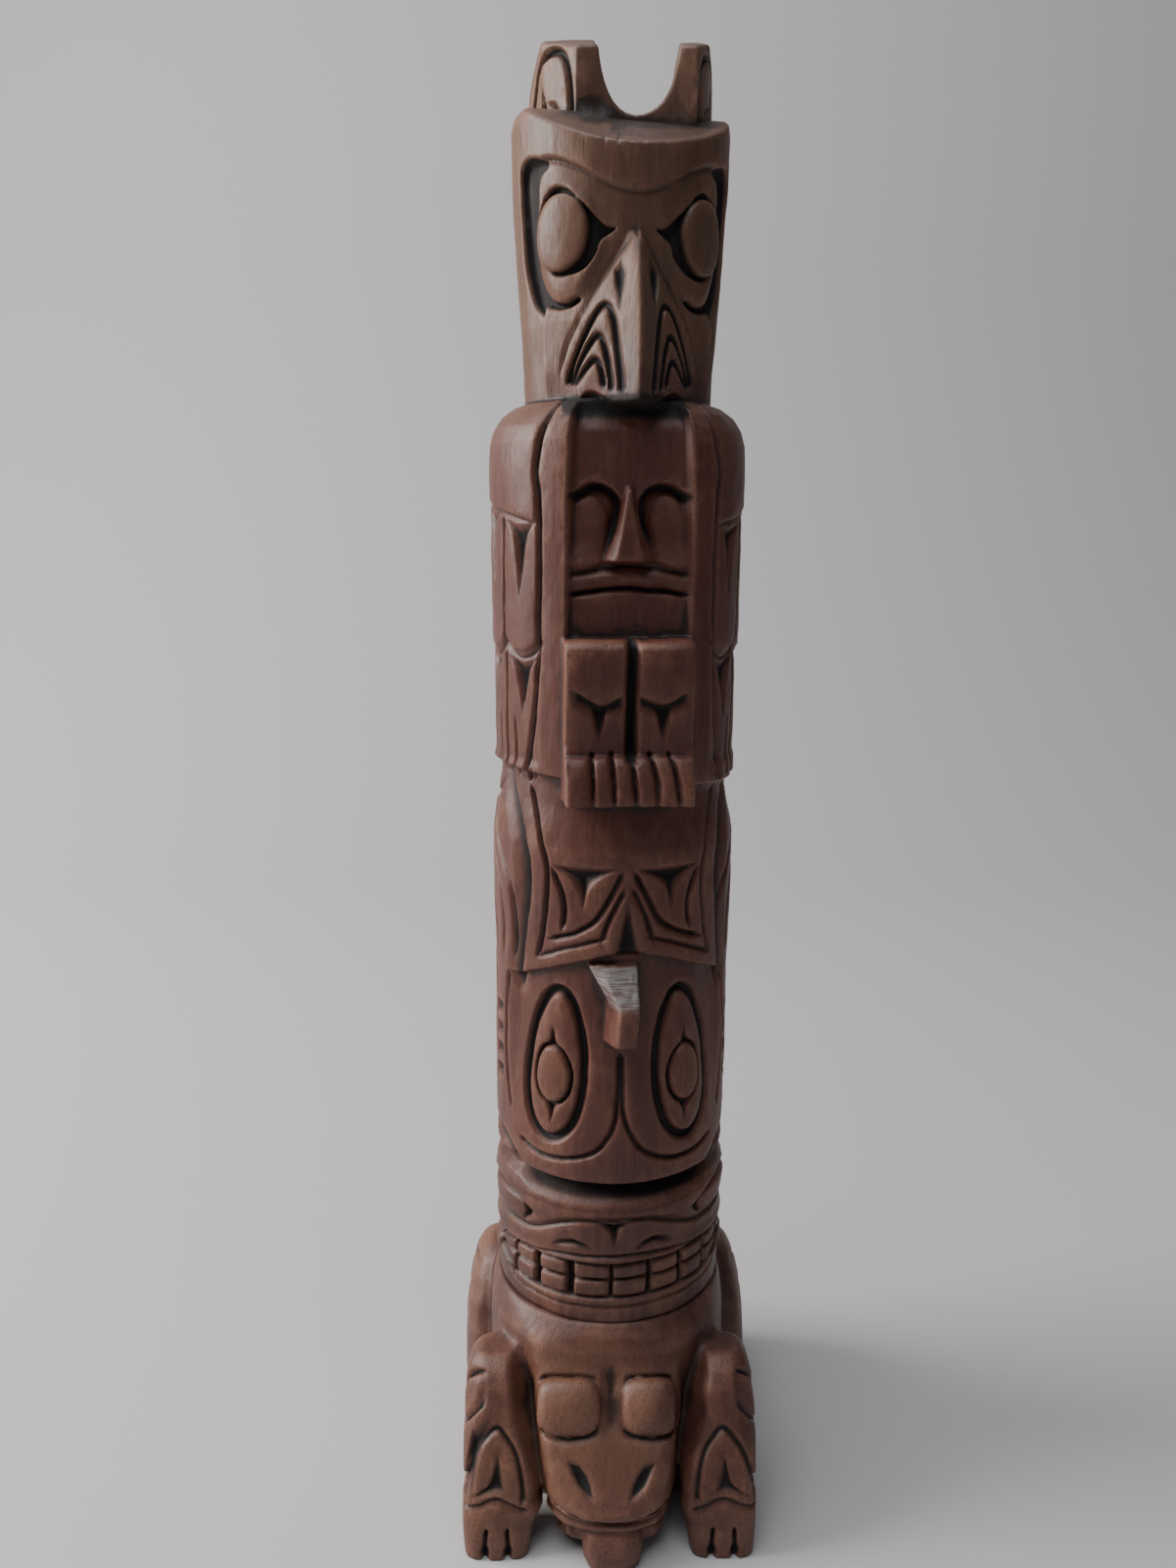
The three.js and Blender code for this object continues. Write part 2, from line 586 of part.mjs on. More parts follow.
function wingCuts() {
  const cuts = [];
  const line = (path, left, right, depth) => cuts.push(
    ...pair(path, (p) => groove(wingWall, p, left, right, depth)));
  line([[108, 396], [102, 346], [98, 281]], 1.3, 1.3, 1.8);
  line([[37, 410], [42, 388], [41.5, 355], [43, 325], [51, 281]],
    1.5, 1.1, 2);
  line(level((a) => 362.5 + 0.14 * a, 42, 102, 15), 0.5, 2.4, 1.4);
  const feather = 26.5;          // degrees from one feather to the next
  for (let row = 0; row < 2; row += 1) {
    const top = row ? 326 : 368;
    const fall = row ? 21 : 27;
    for (let i = 0; i < 2; i += 1) {
      const across = 53.5 + (i - row * 0.1) * feather;
      const up = top + (row ? 2.5 * i : 0.14 * (across - 42));
      for (const side of [-1, 1]) {
        const tee = [[across - 8.5, up + 1], [across + 8.5, up + 1], [across + 2.4, up - 6],
          [across, up - fall], [across - 2.4, up - 6]];
        cuts.push(chip(wingWall, tee.map(([a, z]) => [side * a, z]),
          [side * across, up - 5], 2.6));
      }
      const seam = across + feather / 2;
      line([[seam, up - 3], [seam + 0.4, row ? 283 : 328]], 1, 1, 1.7);
      if (row) line([[seam - feather + 4, 281], [seam - feather + 2.5, 300]], 0.8, 0.8, 1.5);
      if (row) {
        const scallop = level((a) => up + 6 * ((a - across) / 12) ** 2,
          across - 12, across + 12, 8);
        line(scallop, 0.5, 2, 1.5);
      }
    }
  }
  return cuts;
}

// ---------------------------------------------------------------------------
// Eagle's head: band, framed eyes, hooked beak, ears
// ---------------------------------------------------------------------------

const HEAD_PROFILE = [
  [401, 31], [408, 32], [430, 33.4], [455, 35], [478, 36.3],
  [496, 36.6], [HEAD_TOP, 35.4],
];
const headRadius = (up) => profile(HEAD_PROFILE, up);
const browWall = roundWall(headRadius, HEAD_TURN);

const head = () => column(HEAD_PROFILE, 20);

// The forehead slopes down to the front edge of the band.
function foreheadCut() {
  const side = [[-60, 470.8], [-9.6, HEAD_TOP], [-9.6, 540], [-60, 540]];
  const stand = new THREE.Matrix4().makeRotationZ(radians(90))
    .multiply(new THREE.Matrix4().makeRotationX(radians(90)));
  const middle = new THREE.Matrix4().makeTranslation(0, 0, -60);
  return slab(side, 120, turned(HEAD_TURN).multiply(stand).multiply(middle));
}

function ears() {
  // Seen from the front: two ears with a round notch between them.
  const front = new THREE.Shape();
  front.moveTo(-32, 478);
  front.lineTo(-32, 506);
  front.bezierCurveTo(-31.5, 522, -27, 530, -17, EAR_TOP);
  front.lineTo(-9, EAR_TOP);
  front.bezierCurveTo(-8, 519, -7.6, 500.6, 4, 499.4);
  front.bezierCurveTo(14.8, 499.6, 17.8, 509, 19.5, EAR_TOP - 3);
  front.lineTo(25, EAR_TOP - 3);
  front.bezierCurveTo(30.5, 529, 32, 522, 32, 508);
  front.lineTo(32, 478);
  const wide = new THREE.ExtrudeGeometry(front,
    { depth: 60, bevelEnabled: false, curveSegments: 7 });
  wide.applyMatrix4(new THREE.Matrix4().makeRotationX(radians(90)).setPosition(0, 34, 0));
  // Seen from above: the outer faces run back from narrow front faces.
  const plan = [[-7, -14], [-15, -15.5], [-26, -3], [-31.5, 12], [-30, 20], [-24, 27],
    [24, 27], [30, 20], [32, 12], [29, -3], [24, -15], [18, -14]];
  const above = slab(plan, 70, new THREE.Matrix4().makeTranslation(0, 0, 475));
  // Seen from the side: the tips slope up a little to the back.
  const side = [[-30, 470], [-30, 512.5], [14, EAR_TOP], [21, EAR_TOP - 1.5],
    [26, EAR_TOP - 8], [30, 500], [30, 470]];
  const stand = new THREE.Matrix4().makeRotationZ(radians(90))
    .multiply(new THREE.Matrix4().makeRotationX(radians(90)));
  const middle = new THREE.Matrix4().makeTranslation(0, 0, -50);
  const long = slab(side, 100, stand.multiply(middle));
  return solid(wide).intersect(above).intersect(long);
}

function beak() {
  const rings = [
    // height, half width at the cheeks, cheek depth, ridge depth
    [404.5, 26.5, -18.8, -45.5], [408, 26.5, -19.4, -46.5], [418, 24, -23.4, -46.6],
    [434, 15, -31.4, -45], [448, 7.4, -34.2, -41.5], [458, 2.4, -34.8, -37],
  ].map(([z, half, cheek, ridge]) => [
    [-half, -12], [-half, cheek], [-half * 0.42, (cheek + ridge) / 2 - 1.6], [0.4, ridge],
    [half * 0.42, (cheek + ridge) / 2 - 1.6], [half, cheek], [half, -12],
  ].map(([x, y]) => new THREE.Vector3(x, y, z).applyMatrix4(turned(HEAD_TURN))));
  return skin(rings);
}

// Either side of the ridge the underside of the beak is hollowed in an arch.
function beakHollows() {
  return [-1, 1].map((side) => {
    const across = side * 12.5;
    const outline = Array.from({ length: 9 }, (_, i) => {
      const turn = (i / 8) * Math.PI;
      return [across + 8.5 * Math.cos(turn), 400 + 8 * Math.sin(turn)];
    });
    const upright = new THREE.Matrix4().makeRotationX(radians(90));
    const out = new THREE.Matrix4().makeTranslation(0, 0, 26);
    return slab(outline, 30, turned(HEAD_TURN).multiply(upright).multiply(out));
  });
}

function headCuts() {
  const cuts = [];
  const line = (path, left, right, depth) => cuts.push(
    ...pair(path, (p) => groove(browWall, p, left, right, depth)));
  const brow = level((a) => 470.8 + 9.6 * THREE.MathUtils.smoothstep(Math.abs(a), 2, 54),
    -60, 60, 15);
  cuts.push(groove(browWall, brow, 0.5, 6, 2));
  line([[30, 437], [38, 435.3], [50, 437], [59, 444], [62.5, 456], [62.5, 480]],
    2.6, 2.6, 2.8);
  for (const side of [-1, 1]) {
    const eye = egg([side * 39, 459.7], [17, 12.2], 0, 10);
    cuts.push(groove(browWall, eye, 1.7, 1.7, 2.6, true));
    const corner = [[24, 466.5], [9.5, 460.3], [23.5, 455]];
    cuts.push(chip(browWall, corner.map(([a, z]) => [side * a, z]), [side * 20, 461], 2.6));
  }
  // The beak's own slopes carry slit nostrils and three nested folds.
  for (const side of [-1, 1]) {
    const slope = (across, up, depth) => {
      const ridge = profile([[400, 45], [408, 46.5], [418, 46.6], [434, 45], [448, 41.5],
        [458, 37]], up);
      const fall = profile([[400, 0.72], [418, 0.72], [434, 0.78], [458, 0.9]], up);
      const point = new THREE.Vector3(
        side * across, depth - (ridge - 0.4 - across * fall), up);
      return point.applyMatrix4(turned(HEAD_TURN));
    };
    slope.step = 1;
    cuts.push(chip(slope, [[5, 449.5], [2.8, 443.5], [4.4, 435], [6.6, 444]],
      [4.6, 443], 3.4));
    for (let fold = 0; fold < 3; fold += 1) {
      const top = 434.5 - 7.2 * fold;
      const near = 8.6 + 1.3 * fold;
      const path = [[20.5, 414 - fold * 1.2], [near + 1, top], [near - 2, top - 6],
        [5.6 + fold * 1.6, 405]];
      cuts.push(groove(slope, path, 1.1, 1.1, 1.7));
    }
  }
  // Each ear's outer face has a ring cut along its edge and a drop inside.
  for (const side of [-1, 1]) {
    const lean = radians(52);
    const start = side < 0 ? [-15.2, -15.2] : [24.4, -14.6];
    const earWall = (across, up, depth) => new THREE.Vector3(
      start[0] + side * (across * Math.cos(lean) - depth * Math.sin(lean)),
      start[1] + across * Math.sin(lean) + depth * Math.cos(lean), up);
    earWall.step = 1;
    const rim = [[3, 500], [3.6, 514], [9, 521.5], [16, 517], [20, 500]];
    cuts.push(groove(earWall, rim, 1.1, 1.1, 2));
    const drop = [[7.5, 514], [9.5, 506], [14, 503.5], [12, 499.5], [8, 501]];
    cuts.push(chip(earWall, drop, [10, 503.5], 2.2));
  }
  return cuts;
}

// ---------------------------------------------------------------------------
// Everything is one piece of wood: join the masses, then carve them
// ---------------------------------------------------------------------------

const masses = [
  frogTrunk(), ...frogHead(), ...frogEyes(), frogArm(-1), frogArm(1),
  frogHaunch(-1), frogHaunch(1), pole, head(),
];
const hollows = [foreheadCut(), niche(), faceCut()];
const roughedOut = hollows.reduce((wood, cut) => wood.subtract(cut), join(masses));
const limbs = join([manLegs(), manNose(), beak(), ears(), whaleFin()]);
const cuts = [
  ...beakHollows(), ...frogCuts(), ...bearCuts(), ...whaleFaceCuts(), ...panelCuts(),
  ...flankCuts(), ...manCuts(), ...wingCuts(), ...headCuts(),
];
const carved = cuts.reduce((wood, cut) => wood.subtract(cut), roughedOut.add(limbs));

// The surface of a solid as a three.js geometry.
function surface(wood) {
  const { vertProperties, triVerts } = wood.getMesh();
  const bare = new THREE.BufferGeometry();
  bare.setAttribute('position', new THREE.BufferAttribute(vertProperties, 3));
  bare.setIndex(new THREE.BufferAttribute(triVerts, 1));
  return bare;
}

// Cuts that meet leave crumbs far smaller than a saw cut. Only the pole is kept.
function sweepUp(wood) {
  const merged = mergeVertices(surface(wood), CRUMB);
  const whole = new wasm.Manifold(new wasm.Mesh({
    numProp: 3,
    vertProperties: merged.attributes.position.array,
    triVerts: merged.index.array,
  }));
  return whole.decompose().reduce((a, b) => (a.volume() > b.volume() ? a : b));
}

const geometry = surface(sweepUp(carved));
geometry.computeVertexNormals();

const wood = new THREE.MeshStandardMaterial({
  color: 0x7a4a2c, roughness: 0.5, metalness: 0,
});
const totemPole = new THREE.Mesh(geometry, wood);
totemPole.name = 'totem_pole';

const group = new THREE.Group();
group.add(totemPole);

export default group;
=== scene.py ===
# %% [markdown]
# # A small totem pole, carved from one piece of wood
#
# The real object is a post of soft, even wood. A carver rounds it, saws the figures
# free from top to bottom, and then draws every line with a knife: a crouching frog,
# a bear, a whale with its tail folded up, a man between an eagle's wings, and the
# eagle itself. Last of all the wood gets a reddish brown stain, which gathers in
# the cuts. This lesson follows the same order: round the post, draw the cuts on
# it, block out the frog, join the masses, stain the wood, paint shade into its cuts
# and hollows, and light it.

# %% The frame, and the tools of the lesson
import math

import bpy
import numpy as np
import openvdb
from mathutils import Matrix, Vector


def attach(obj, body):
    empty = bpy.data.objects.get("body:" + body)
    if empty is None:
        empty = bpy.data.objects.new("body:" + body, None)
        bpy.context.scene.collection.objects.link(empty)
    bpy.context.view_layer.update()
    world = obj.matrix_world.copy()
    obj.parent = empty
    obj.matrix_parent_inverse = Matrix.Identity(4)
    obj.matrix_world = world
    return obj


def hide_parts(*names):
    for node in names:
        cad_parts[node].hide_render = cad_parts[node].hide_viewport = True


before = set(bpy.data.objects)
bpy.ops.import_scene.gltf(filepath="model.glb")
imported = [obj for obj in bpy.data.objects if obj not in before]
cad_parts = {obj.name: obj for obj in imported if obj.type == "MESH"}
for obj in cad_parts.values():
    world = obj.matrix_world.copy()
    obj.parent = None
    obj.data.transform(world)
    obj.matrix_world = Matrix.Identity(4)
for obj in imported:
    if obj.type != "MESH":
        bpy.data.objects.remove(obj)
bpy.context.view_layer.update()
MM = 0.001                       # the lesson measures in millimetres

# %% [markdown]
# ## Main measures
#
# A carver marks a few heights on the post before the first cut, and every figure
# is set out from them. The centre line isn't quite straight: each figure is turned
# a few degrees, which is what makes a hand-carved pole look alive.

# %% Heights in mm above the table, and turns in degrees
FROG_BACK = 77.0
NICHE_TOP = 410.0
SHOULDER = 408.0
CROWN = 500.0
EAR_TIP = 531.0
POST = 44.5                      # radius of the rounded post
BEAR_TURN, WHALE_TURN, PANEL_TURN, MAN_TURN, HEAD_TURN = 1.0, 3.0, 5.5, 5.0, 7.0
ROUND = math.radians(1) * POST   # mm along the post's surface for one degree


# %% [markdown]
# ## Noise for the hand of the carver
#
# A knife never runs dead straight, and wood gives a little differently from inch
# to inch. Smooth random values on a lattice, blended between its corners, bend the
# drawn lines and dimple the surfaces. Every lattice has a fixed seed, so the same
# pole comes out each time.

# %% Lattice noise in any number of dimensions
def lattice(seed, *axes):
    """Smooth noise from -1 to 1; each axis is already divided by its wavelength."""
    table = np.random.default_rng(seed).uniform(-1, 1, 4096).astype(np.float32)
    cells, shares = [], []
    for axis in axes:
        floor = np.floor(axis)
        share = (axis - floor).astype(np.float32)
        cells.append(floor.astype(np.int64))
        shares.append(share * share * (3 - 2 * share))
    total = 0
    for corner in range(2 ** len(axes)):
        key, weight = 0, 1
        for place, (cell, share) in enumerate(zip(cells, shares)):
            bit = corner >> place & 1
            key = key + (cell + bit) * (73, 1259, 2917)[place]
            weight = weight * (share if bit else 1 - share)
        total = total + table[key % 4096] * weight
    return total


def smoothstep(value, low, high):
    share = np.clip((value - low) / (high - low), 0, 1)
    return share * share * (3 - 2 * share)


# %% [markdown]
# ## A drawing that becomes relief
#
# All the carving on the post is shallow, so it can be drawn flat, like paper that
# is later wrapped round the wood. The sheet below holds two numbers at each spot:
# the height of the wood, and how deep the knife went. A groove is a line with a
# V-shaped section, deepest on the line itself. A chip is a little pit whose sides
# all slope down to one point, which is how a knife lifts a clean triangle of wood.

# %% The sheet of relief
def curve_through(points, closed, step=1.2):
    """A smooth line through the points, as short straight strokes."""
    p = np.asarray(points, float)
    if len(p) < 3:
        return p
    if closed:
        p = np.vstack([p[-1], p, p[0], p[1]])
    else:
        p = np.vstack([2 * p[0] - p[1], p, 2 * p[-1] - p[-2]])
    line = []
    for a, b, c, d in zip(p[:-3], p[1:-2], p[2:-1], p[3:]):
        count = max(2, int(np.hypot(*(c - b)) / step))
        t = np.linspace(0, 1, count, endpoint=False)[:, None]
        line.append(b + 0.5 * t * ((c - a) + t * ((2 * a - 5 * b + 4 * c - d)
                                                  + t * (3 * (b - c) + d - a))))
    return np.vstack(line + [p[-2:-1]])


def cross(a, b):
    return a[0] * b[1] - a[1] * b[0]


class Sheet:
    """Relief over across and up. `unit` is the mm of one unit across in a drawing."""

    def __init__(self, left, right, bottom, top, step, unit=1.0, seed=1):
        self.step, self.unit, self.centre = step, unit, 0.0
        self.across = np.arange(left, right + step / 2, step)
        self.up = np.arange(bottom, top + step / 2, step)
        u, v = np.meshgrid(self.across, self.up)
        self.plain_u, self.plain_v = u, v
        # The hand wobbles: lines drawn on the sheet bend with these coordinates.
        self.u = u + 0.28 * lattice(seed, u / 9, v / 11) + 0.10 * lattice(seed + 1, u / 3, v / 3)
        self.v = v + 0.28 * lattice(seed + 2, u / 10, v / 9) + 0.10 * lattice(seed + 3, u / 3, v / 3)
        self.height = np.zeros_like(u)
        self.cut = np.zeros_like(u)

    def place(self, points):
        p = np.array(points, float).reshape(-1, 2)
        p[:, 0] = (p[:, 0] + self.centre) * self.unit
        return p

    def window(self, low, high):
        columns = slice(*np.searchsorted(self.across, (low[0], high[0])))
        rows = slice(*np.searchsorted(self.up, (low[1], high[1])))
        return rows, columns

    def groove(self, path, left, right, depth, closed=False, ends=2.5, floor=0.0):
        """A V-cut along a path, `left` and `right` mm wide to either side of it.

        `floor` is the share of that width which is cut flat, for a broad channel."""
        p = self.place(path)
        line = curve_through(p, closed)
        reach = max(left, right) + 0.6
        rows, columns = self.window(line.min(0) - reach, line.max(0) + reach)
        u, v = self.u[rows, columns], self.v[rows, columns]
        near = np.full(u.shape, 1e3)
        side, along = np.zeros(u.shape), np.zeros(u.shape)
        run = 0.0
        for a, b in zip(line[:-1], line[1:]):
            length = np.hypot(*(b - a))
            if length < 1e-6:
                continue
            box = self.window(np.minimum(a, b) - reach, np.maximum(a, b) + reach)
            part = tuple(slice(s.start - w.start, s.stop - w.start)
                         for s, w in zip(box, (rows, columns)))
            pu, pv = u[part] - a[0], v[part] - a[1]
            du, dv = (b - a) / length
            t = np.clip(pu * du + pv * dv, 0, length)
            far = np.hypot(pu - t * du, pv - t * dv)
            closer = far < near[part]
            near[part] = np.where(closer, far, near[part])
            side[part] = np.where(closer, du * pv - dv * pu, side[part])
            along[part] = np.where(closer, run + t, along[part])
            run += length
        width = np.where(side > 0, left, right)
        taper = 1.0
        if not closed and ends:
            tip = min(ends * max(left, right), run / 2)
            taper = np.clip(np.minimum(along, run - along) / tip + 0.12, 0, 1) ** 0.7
        rise = np.clip(1 - near / (width * taper), 0, 1) / (1 - floor)
        sloped = np.minimum(rise, 1) * taper * depth
        self.cut[rows, columns] = np.maximum(self.cut[rows, columns], sloped)

    def chip(self, outline, deepest, depth, hollow=0.85):
        """A pit whose outline slopes down to one deepest point."""
        rim, deep = self.place(outline), self.place([deepest])[0]
        rows, columns = self.window(rim.min(0) - 1, rim.max(0) + 1)
        p = (self.u[rows, columns] - deep[0], self.v[rows, columns] - deep[1])
        pit = np.zeros(p[0].shape)
        for a, b in zip(rim - deep, np.roll(rim, -1, 0) - deep):
            area = cross(a, b)
            if abs(area) < 1e-6:
                continue
            share_a, share_b = cross(p, b) / area, cross(a, p) / area
            share = 1 - share_a - share_b
            inside = (share_a >= -1e-6) & (share_b >= -1e-6) & (share > 0)
            pit = np.where(inside, np.maximum(pit, share), pit)
        pit = np.clip(pit, 0, 1) ** hollow * depth
        self.cut[rows, columns] = np.maximum(self.cut[rows, columns], pit)

    def both(self, path, left, right, depth, **more):
        """A groove and its mirror image; the widths are those of the right-hand one."""
        self.groove(path, left, right, depth, **more)
        self.groove([(-a, z) for a, z in path], right, left, depth, **more)

    def both_chips(self, outline, deepest, depth, hollow=0.85):
        """A chip and its mirror image."""
        for side in (-1, 1):
            self.chip([(side * a, z) for a, z in outline], (side * deepest[0], deepest[1]),
                      depth, hollow)

    def inside(self, outline):
        """Window of an outline, and the distance into it, negative outside."""
        rim = curve_through(self.place(outline), True)
        rows, columns = self.window(rim.min(0) - 1, rim.max(0) + 1)
        return rows, columns, outline_distance(self.u[rows, columns], self.v[rows, columns], rim)

    def recess(self, outline, depth, slope=0.8):
        """Everything in the outline is cut down by depth, with steep sides."""
        rows, columns, into = self.inside(outline)
        floor = depth * smoothstep(into, 0, slope)
        self.cut[rows, columns] = np.maximum(self.cut[rows, columns], floor)

    def dome(self, centre, half, lift, roundness=2.0):
        """A swelling over an oval, such as an eyeball."""
        (cu, cv), = self.place([centre])
        hu, hv = half[0] * self.unit, half[1]
        rows, columns = self.window((cu - hu - 1, cv - hv - 1), (cu + hu + 1, cv + hv + 1))
        rho = (np.abs((self.u[rows, columns] - cu) / hu) ** roundness
               + np.abs((self.v[rows, columns] - cv) / hv) ** roundness)
        self.height[rows, columns] += lift * np.sqrt(np.clip(1 - rho, 0, 1))

    def at(self, values, across, up):
        """Values of the sheet at given places, blended between its samples."""
        x = np.clip((across - self.across[0]) / self.step, 0, len(self.across) - 1.001)
        y = np.clip((up - self.up[0]) / self.step, 0, len(self.up) - 1.001)
        i, j = x.astype(int), y.astype(int)
        fx, fy = x - i, y - j
        return ((values[j, i] * (1 - fx) + values[j, i + 1] * fx) * (1 - fy)
                + (values[j + 1, i] * (1 - fx) + values[j + 1, i + 1] * fx) * fy)


def outline_distance(u, v, rim):
    """Distance to a closed line of points, positive inside it."""
    near = np.full(u.shape, 1e6)
    winding = np.zeros(u.shape, bool)
    for a, b in zip(rim[:-1], rim[1:]):
        d = b - a
        square = d @ d
        if square < 1e-12:
            continue
        t = np.clip(((u - a[0]) * d[0] + (v - a[1]) * d[1]) / square, 0, 1)
        near = np.minimum(near, (u - a[0] - t * d[0]) ** 2 + (v - a[1] - t * d[1]) ** 2)
        if a[1] != b[1]:
            spans = (a[1] > v) != (b[1] > v)
            winding ^= spans & (u < a[0] + (v - a[1]) * d[0] / d[1])
    return np.where(winding, 1, -1) * np.sqrt(near)


def egg(centre, half, narrowing=0.0, lean=0.0, count=20):
    """An oval outline: narrower above, and leaning to one side as it rises."""
    turn = np.linspace(0, 2 * math.pi, count, endpoint=False)
    up = half[1] * np.sin(turn)
    across = half[0] * (1 - narrowing * np.sin(turn)) * np.cos(turn) + lean * up
    return np.stack([centre[0] + across, centre[1] + up], 1)


def mirror(points):
    """The same drawing on the other side of the centre line, in the same turning sense."""
    return [(-a, z) for a, z in points][::-1]


# %% [markdown]
# ## The rounded post
#
# The sheet is as wide as the post is round. Its starting height is the post's
# radius, which already pinches in at the grooves between the figures, leans in
# under the eagle's neck and swells out again to the head.

# %% A sheet as wide as the post is round
STEP = 0.25
post = Sheet(-math.pi * POST, math.pi * POST, 68.0, CROWN, STEP, ROUND, seed=11)
turn_of = post.plain_u / ROUND   # degrees from the front, + to the viewer's right
PROFILE = [
    (68, 42.6), (76, 43.0), (79, 44.0), (92, 44.3), (118, 44.2), (125, 44.6), (128, 43.6),
    (131, 40.4), (133.6, 41.0), (135.2, 44.2), (150, 44.5), (212, 44.3), (240, 44.8),
    (259, 44.7), (266, 43.6), (273, 42.0), (280, 41.2), (282.4, 41.6), (283.6, 44.3),
    (300, 44.5), (388, 44.7), (396, 44.3), (401, 43.0), (405, 40.6), (408, 36.6),
    (409.4, 32.4), (420, 32.6), (430, 33.4), (455, 35.0), (478, 36.3), (496, 36.7),
    (498.6, 36.2), (500, 34.8),
]
# The wings' hem hangs a little lower on the right than on the left.
tilt = 3.0 * np.sin(np.radians(turn_of)) * np.exp(-((post.plain_v - 283) / 26) ** 2)
post.height += np.interp(post.plain_v + tilt, *np.array(PROFILE).T)
print("sheet of", post.height.shape, "samples, every", STEP, "mm")


# %% [markdown]
# ## Bear
#
# The bear is all mouth. A level cut for each edge of the two rows of teeth runs
# right round the front, the gaps between the teeth are short upright cuts, and
# each tooth is left slightly domed. Above them sit two crescent nostrils, a
# three-cornered nose and almond eyes set far round the sides.

# %% Carve the bear
LEAN = 0.022                     # mm that the bear's lines rise for each degree to the right
# Where the teeth part, in degrees, and half the width of each gap in mm.
GAPS = [(-88, 1.0), (-74, 1.1), (-57, 1.1), (-40.6, 1.7), (-22.3, 2.0), (-1.4, 0.7),
        (17.5, 1.2), (35.3, 1.5), (53, 1.4), (70, 1.2), (86, 1.0)]


def level(up, low, high, stride=6):
    """A line round the post, level or following a function of the angle."""
    angles = np.linspace(low, high, int((high - low) / stride) + 2)
    return [(a, up(a) if callable(up) else up) for a in angles]


def carve_bear(s):
    s.centre = BEAR_TURN
    wide = 98
    angle = np.abs(turn_of - BEAR_TURN)
    front = 1 - smoothstep(angle, wide - 4, wide + 6)
    v = s.v = s.v - LEAN * np.clip(turn_of, -90, 90)
    # Lips swell above and below, and the teeth stand a little behind them.
    lower = 88.0 + 9 * smoothstep(angle, 48, 84)
    mouth = smoothstep(v, lower, lower + 1.6) * (1 - smoothstep(v, 100.8, 102.4))
    s.height -= 1.1 * mouth * front
    s.height += 0.6 * front * np.exp(-((v - 103.9) / 1.3) ** 2)
    s.height += 0.7 * front * np.exp(-((v - 121.6) / 2.6) ** 2)
    for (left, _), (right, _) in zip(GAPS[:-1], GAPS[1:]):
        for low, high in ((89.0, 95.1), (95.9, 101.4)):
            s.dome(((left + right) / 2, (low + high) / 2),
                   ((right - left) / 2, (high - low) / 2), 1.0, 4)
    s.groove(level(124.3, -60, 60), 0.5, 0.5, 0.5)
    # The brow's lower edge swings down under each eye.
    s.both([(0, 119.6), (14, 119.3), (24, 117.6), (32, 115.0), (39, 112.6), (46, 111.2),
            (57, 110.2), (72, 110.6), (86, 113.2), (98, 117)], 2.8, 0.5, 1.6, ends=0)
    s.both([(42.6, 117.6), (49, 120.8), (57, 122.6), (71, 123.4), (86, 121.4), (96, 117.6)],
           0.6, 1.6, 1.9)
    s.both([(47, 113.0), (58, 111.9), (72, 112.2), (86, 114.6)], 0.9, 0.9, 1.2)
    for side in (-1, 1):
        s.dome((side * 68, 117.2), (18, 4.8), 1.0)
    corner = [(41.8, 117.8), (50.2, 121.4), (48.2, 117.2), (50.4, 112.4), (45.4, 114.2)]
    s.both_chips(corner, (47.4, 117), 3.4)
    nostril = [(7.6, 107.0), (12, 110.2), (20, 112.0), (28, 110.4), (32.6, 107.4), (20, 108.8)]
    s.both_chips(nostril, (20, 110.6), 2.6)
    s.chip([(-8.8, 120), (0, 118.6), (8.8, 120), (2.6, 115.4), (0, 110.4), (-2.6, 115.4)],
           (0, 117.0), 3.4)
    s.groove(level(lambda a: 105.9 - 8.5 * (a / 84) ** 2, -wide, wide), 0.5, 1.7, 1.7)
    s.groove(level(lambda a: 102.3 - 5.5 * (a / 90) ** 4, -88, 88), 0.5, 1.2, 2.2)
    s.groove(level(95.5, -70, 70), 0.8, 0.8, 1.4)
    s.groove(level(lambda a: 88.0 + 9 * smoothstep(abs(a), 48, 84), -90, 90), 1.1, 0.5, 2.2)
    s.groove(level(lambda a: 84.4 + 9 * smoothstep(abs(a), 52, 88), -90, 90), 0.8, 0.8, 1.0)
    for gap, half in GAPS:
        s.groove([(gap, 102.6), (gap + 0.4, 95.4), (gap, 87.8)], half, half,
                 1.8 + 0.5 * half, ends=0.5, floor=0.35)
    s.v = s.v + LEAN * np.clip(turn_of, -90, 90)


carve_bear(post)
print("bear carved, deepest cut", round(post.cut.max(), 2), "mm")


# %% [markdown]
# ## Whale
#
# The whale hangs head down. Its face leans back under the tail, so the tail's
# lower edge throws a shadow. Two egg-shaped channels ring the eyes; inside them
# an iris stands proud between an upper and a lower chip. One line runs down from
# the nose fin, splits, and curls out under each cheek to the corners of the lips.

# %% Carve the whale's face
def arch(angle):
    """Height of the tail panel's lower edge at an angle from the whale's nose."""
    return 224.0 - 13.2 * np.clip(np.abs(angle - 2.5) / 54, 0, 1.1) ** 1.25


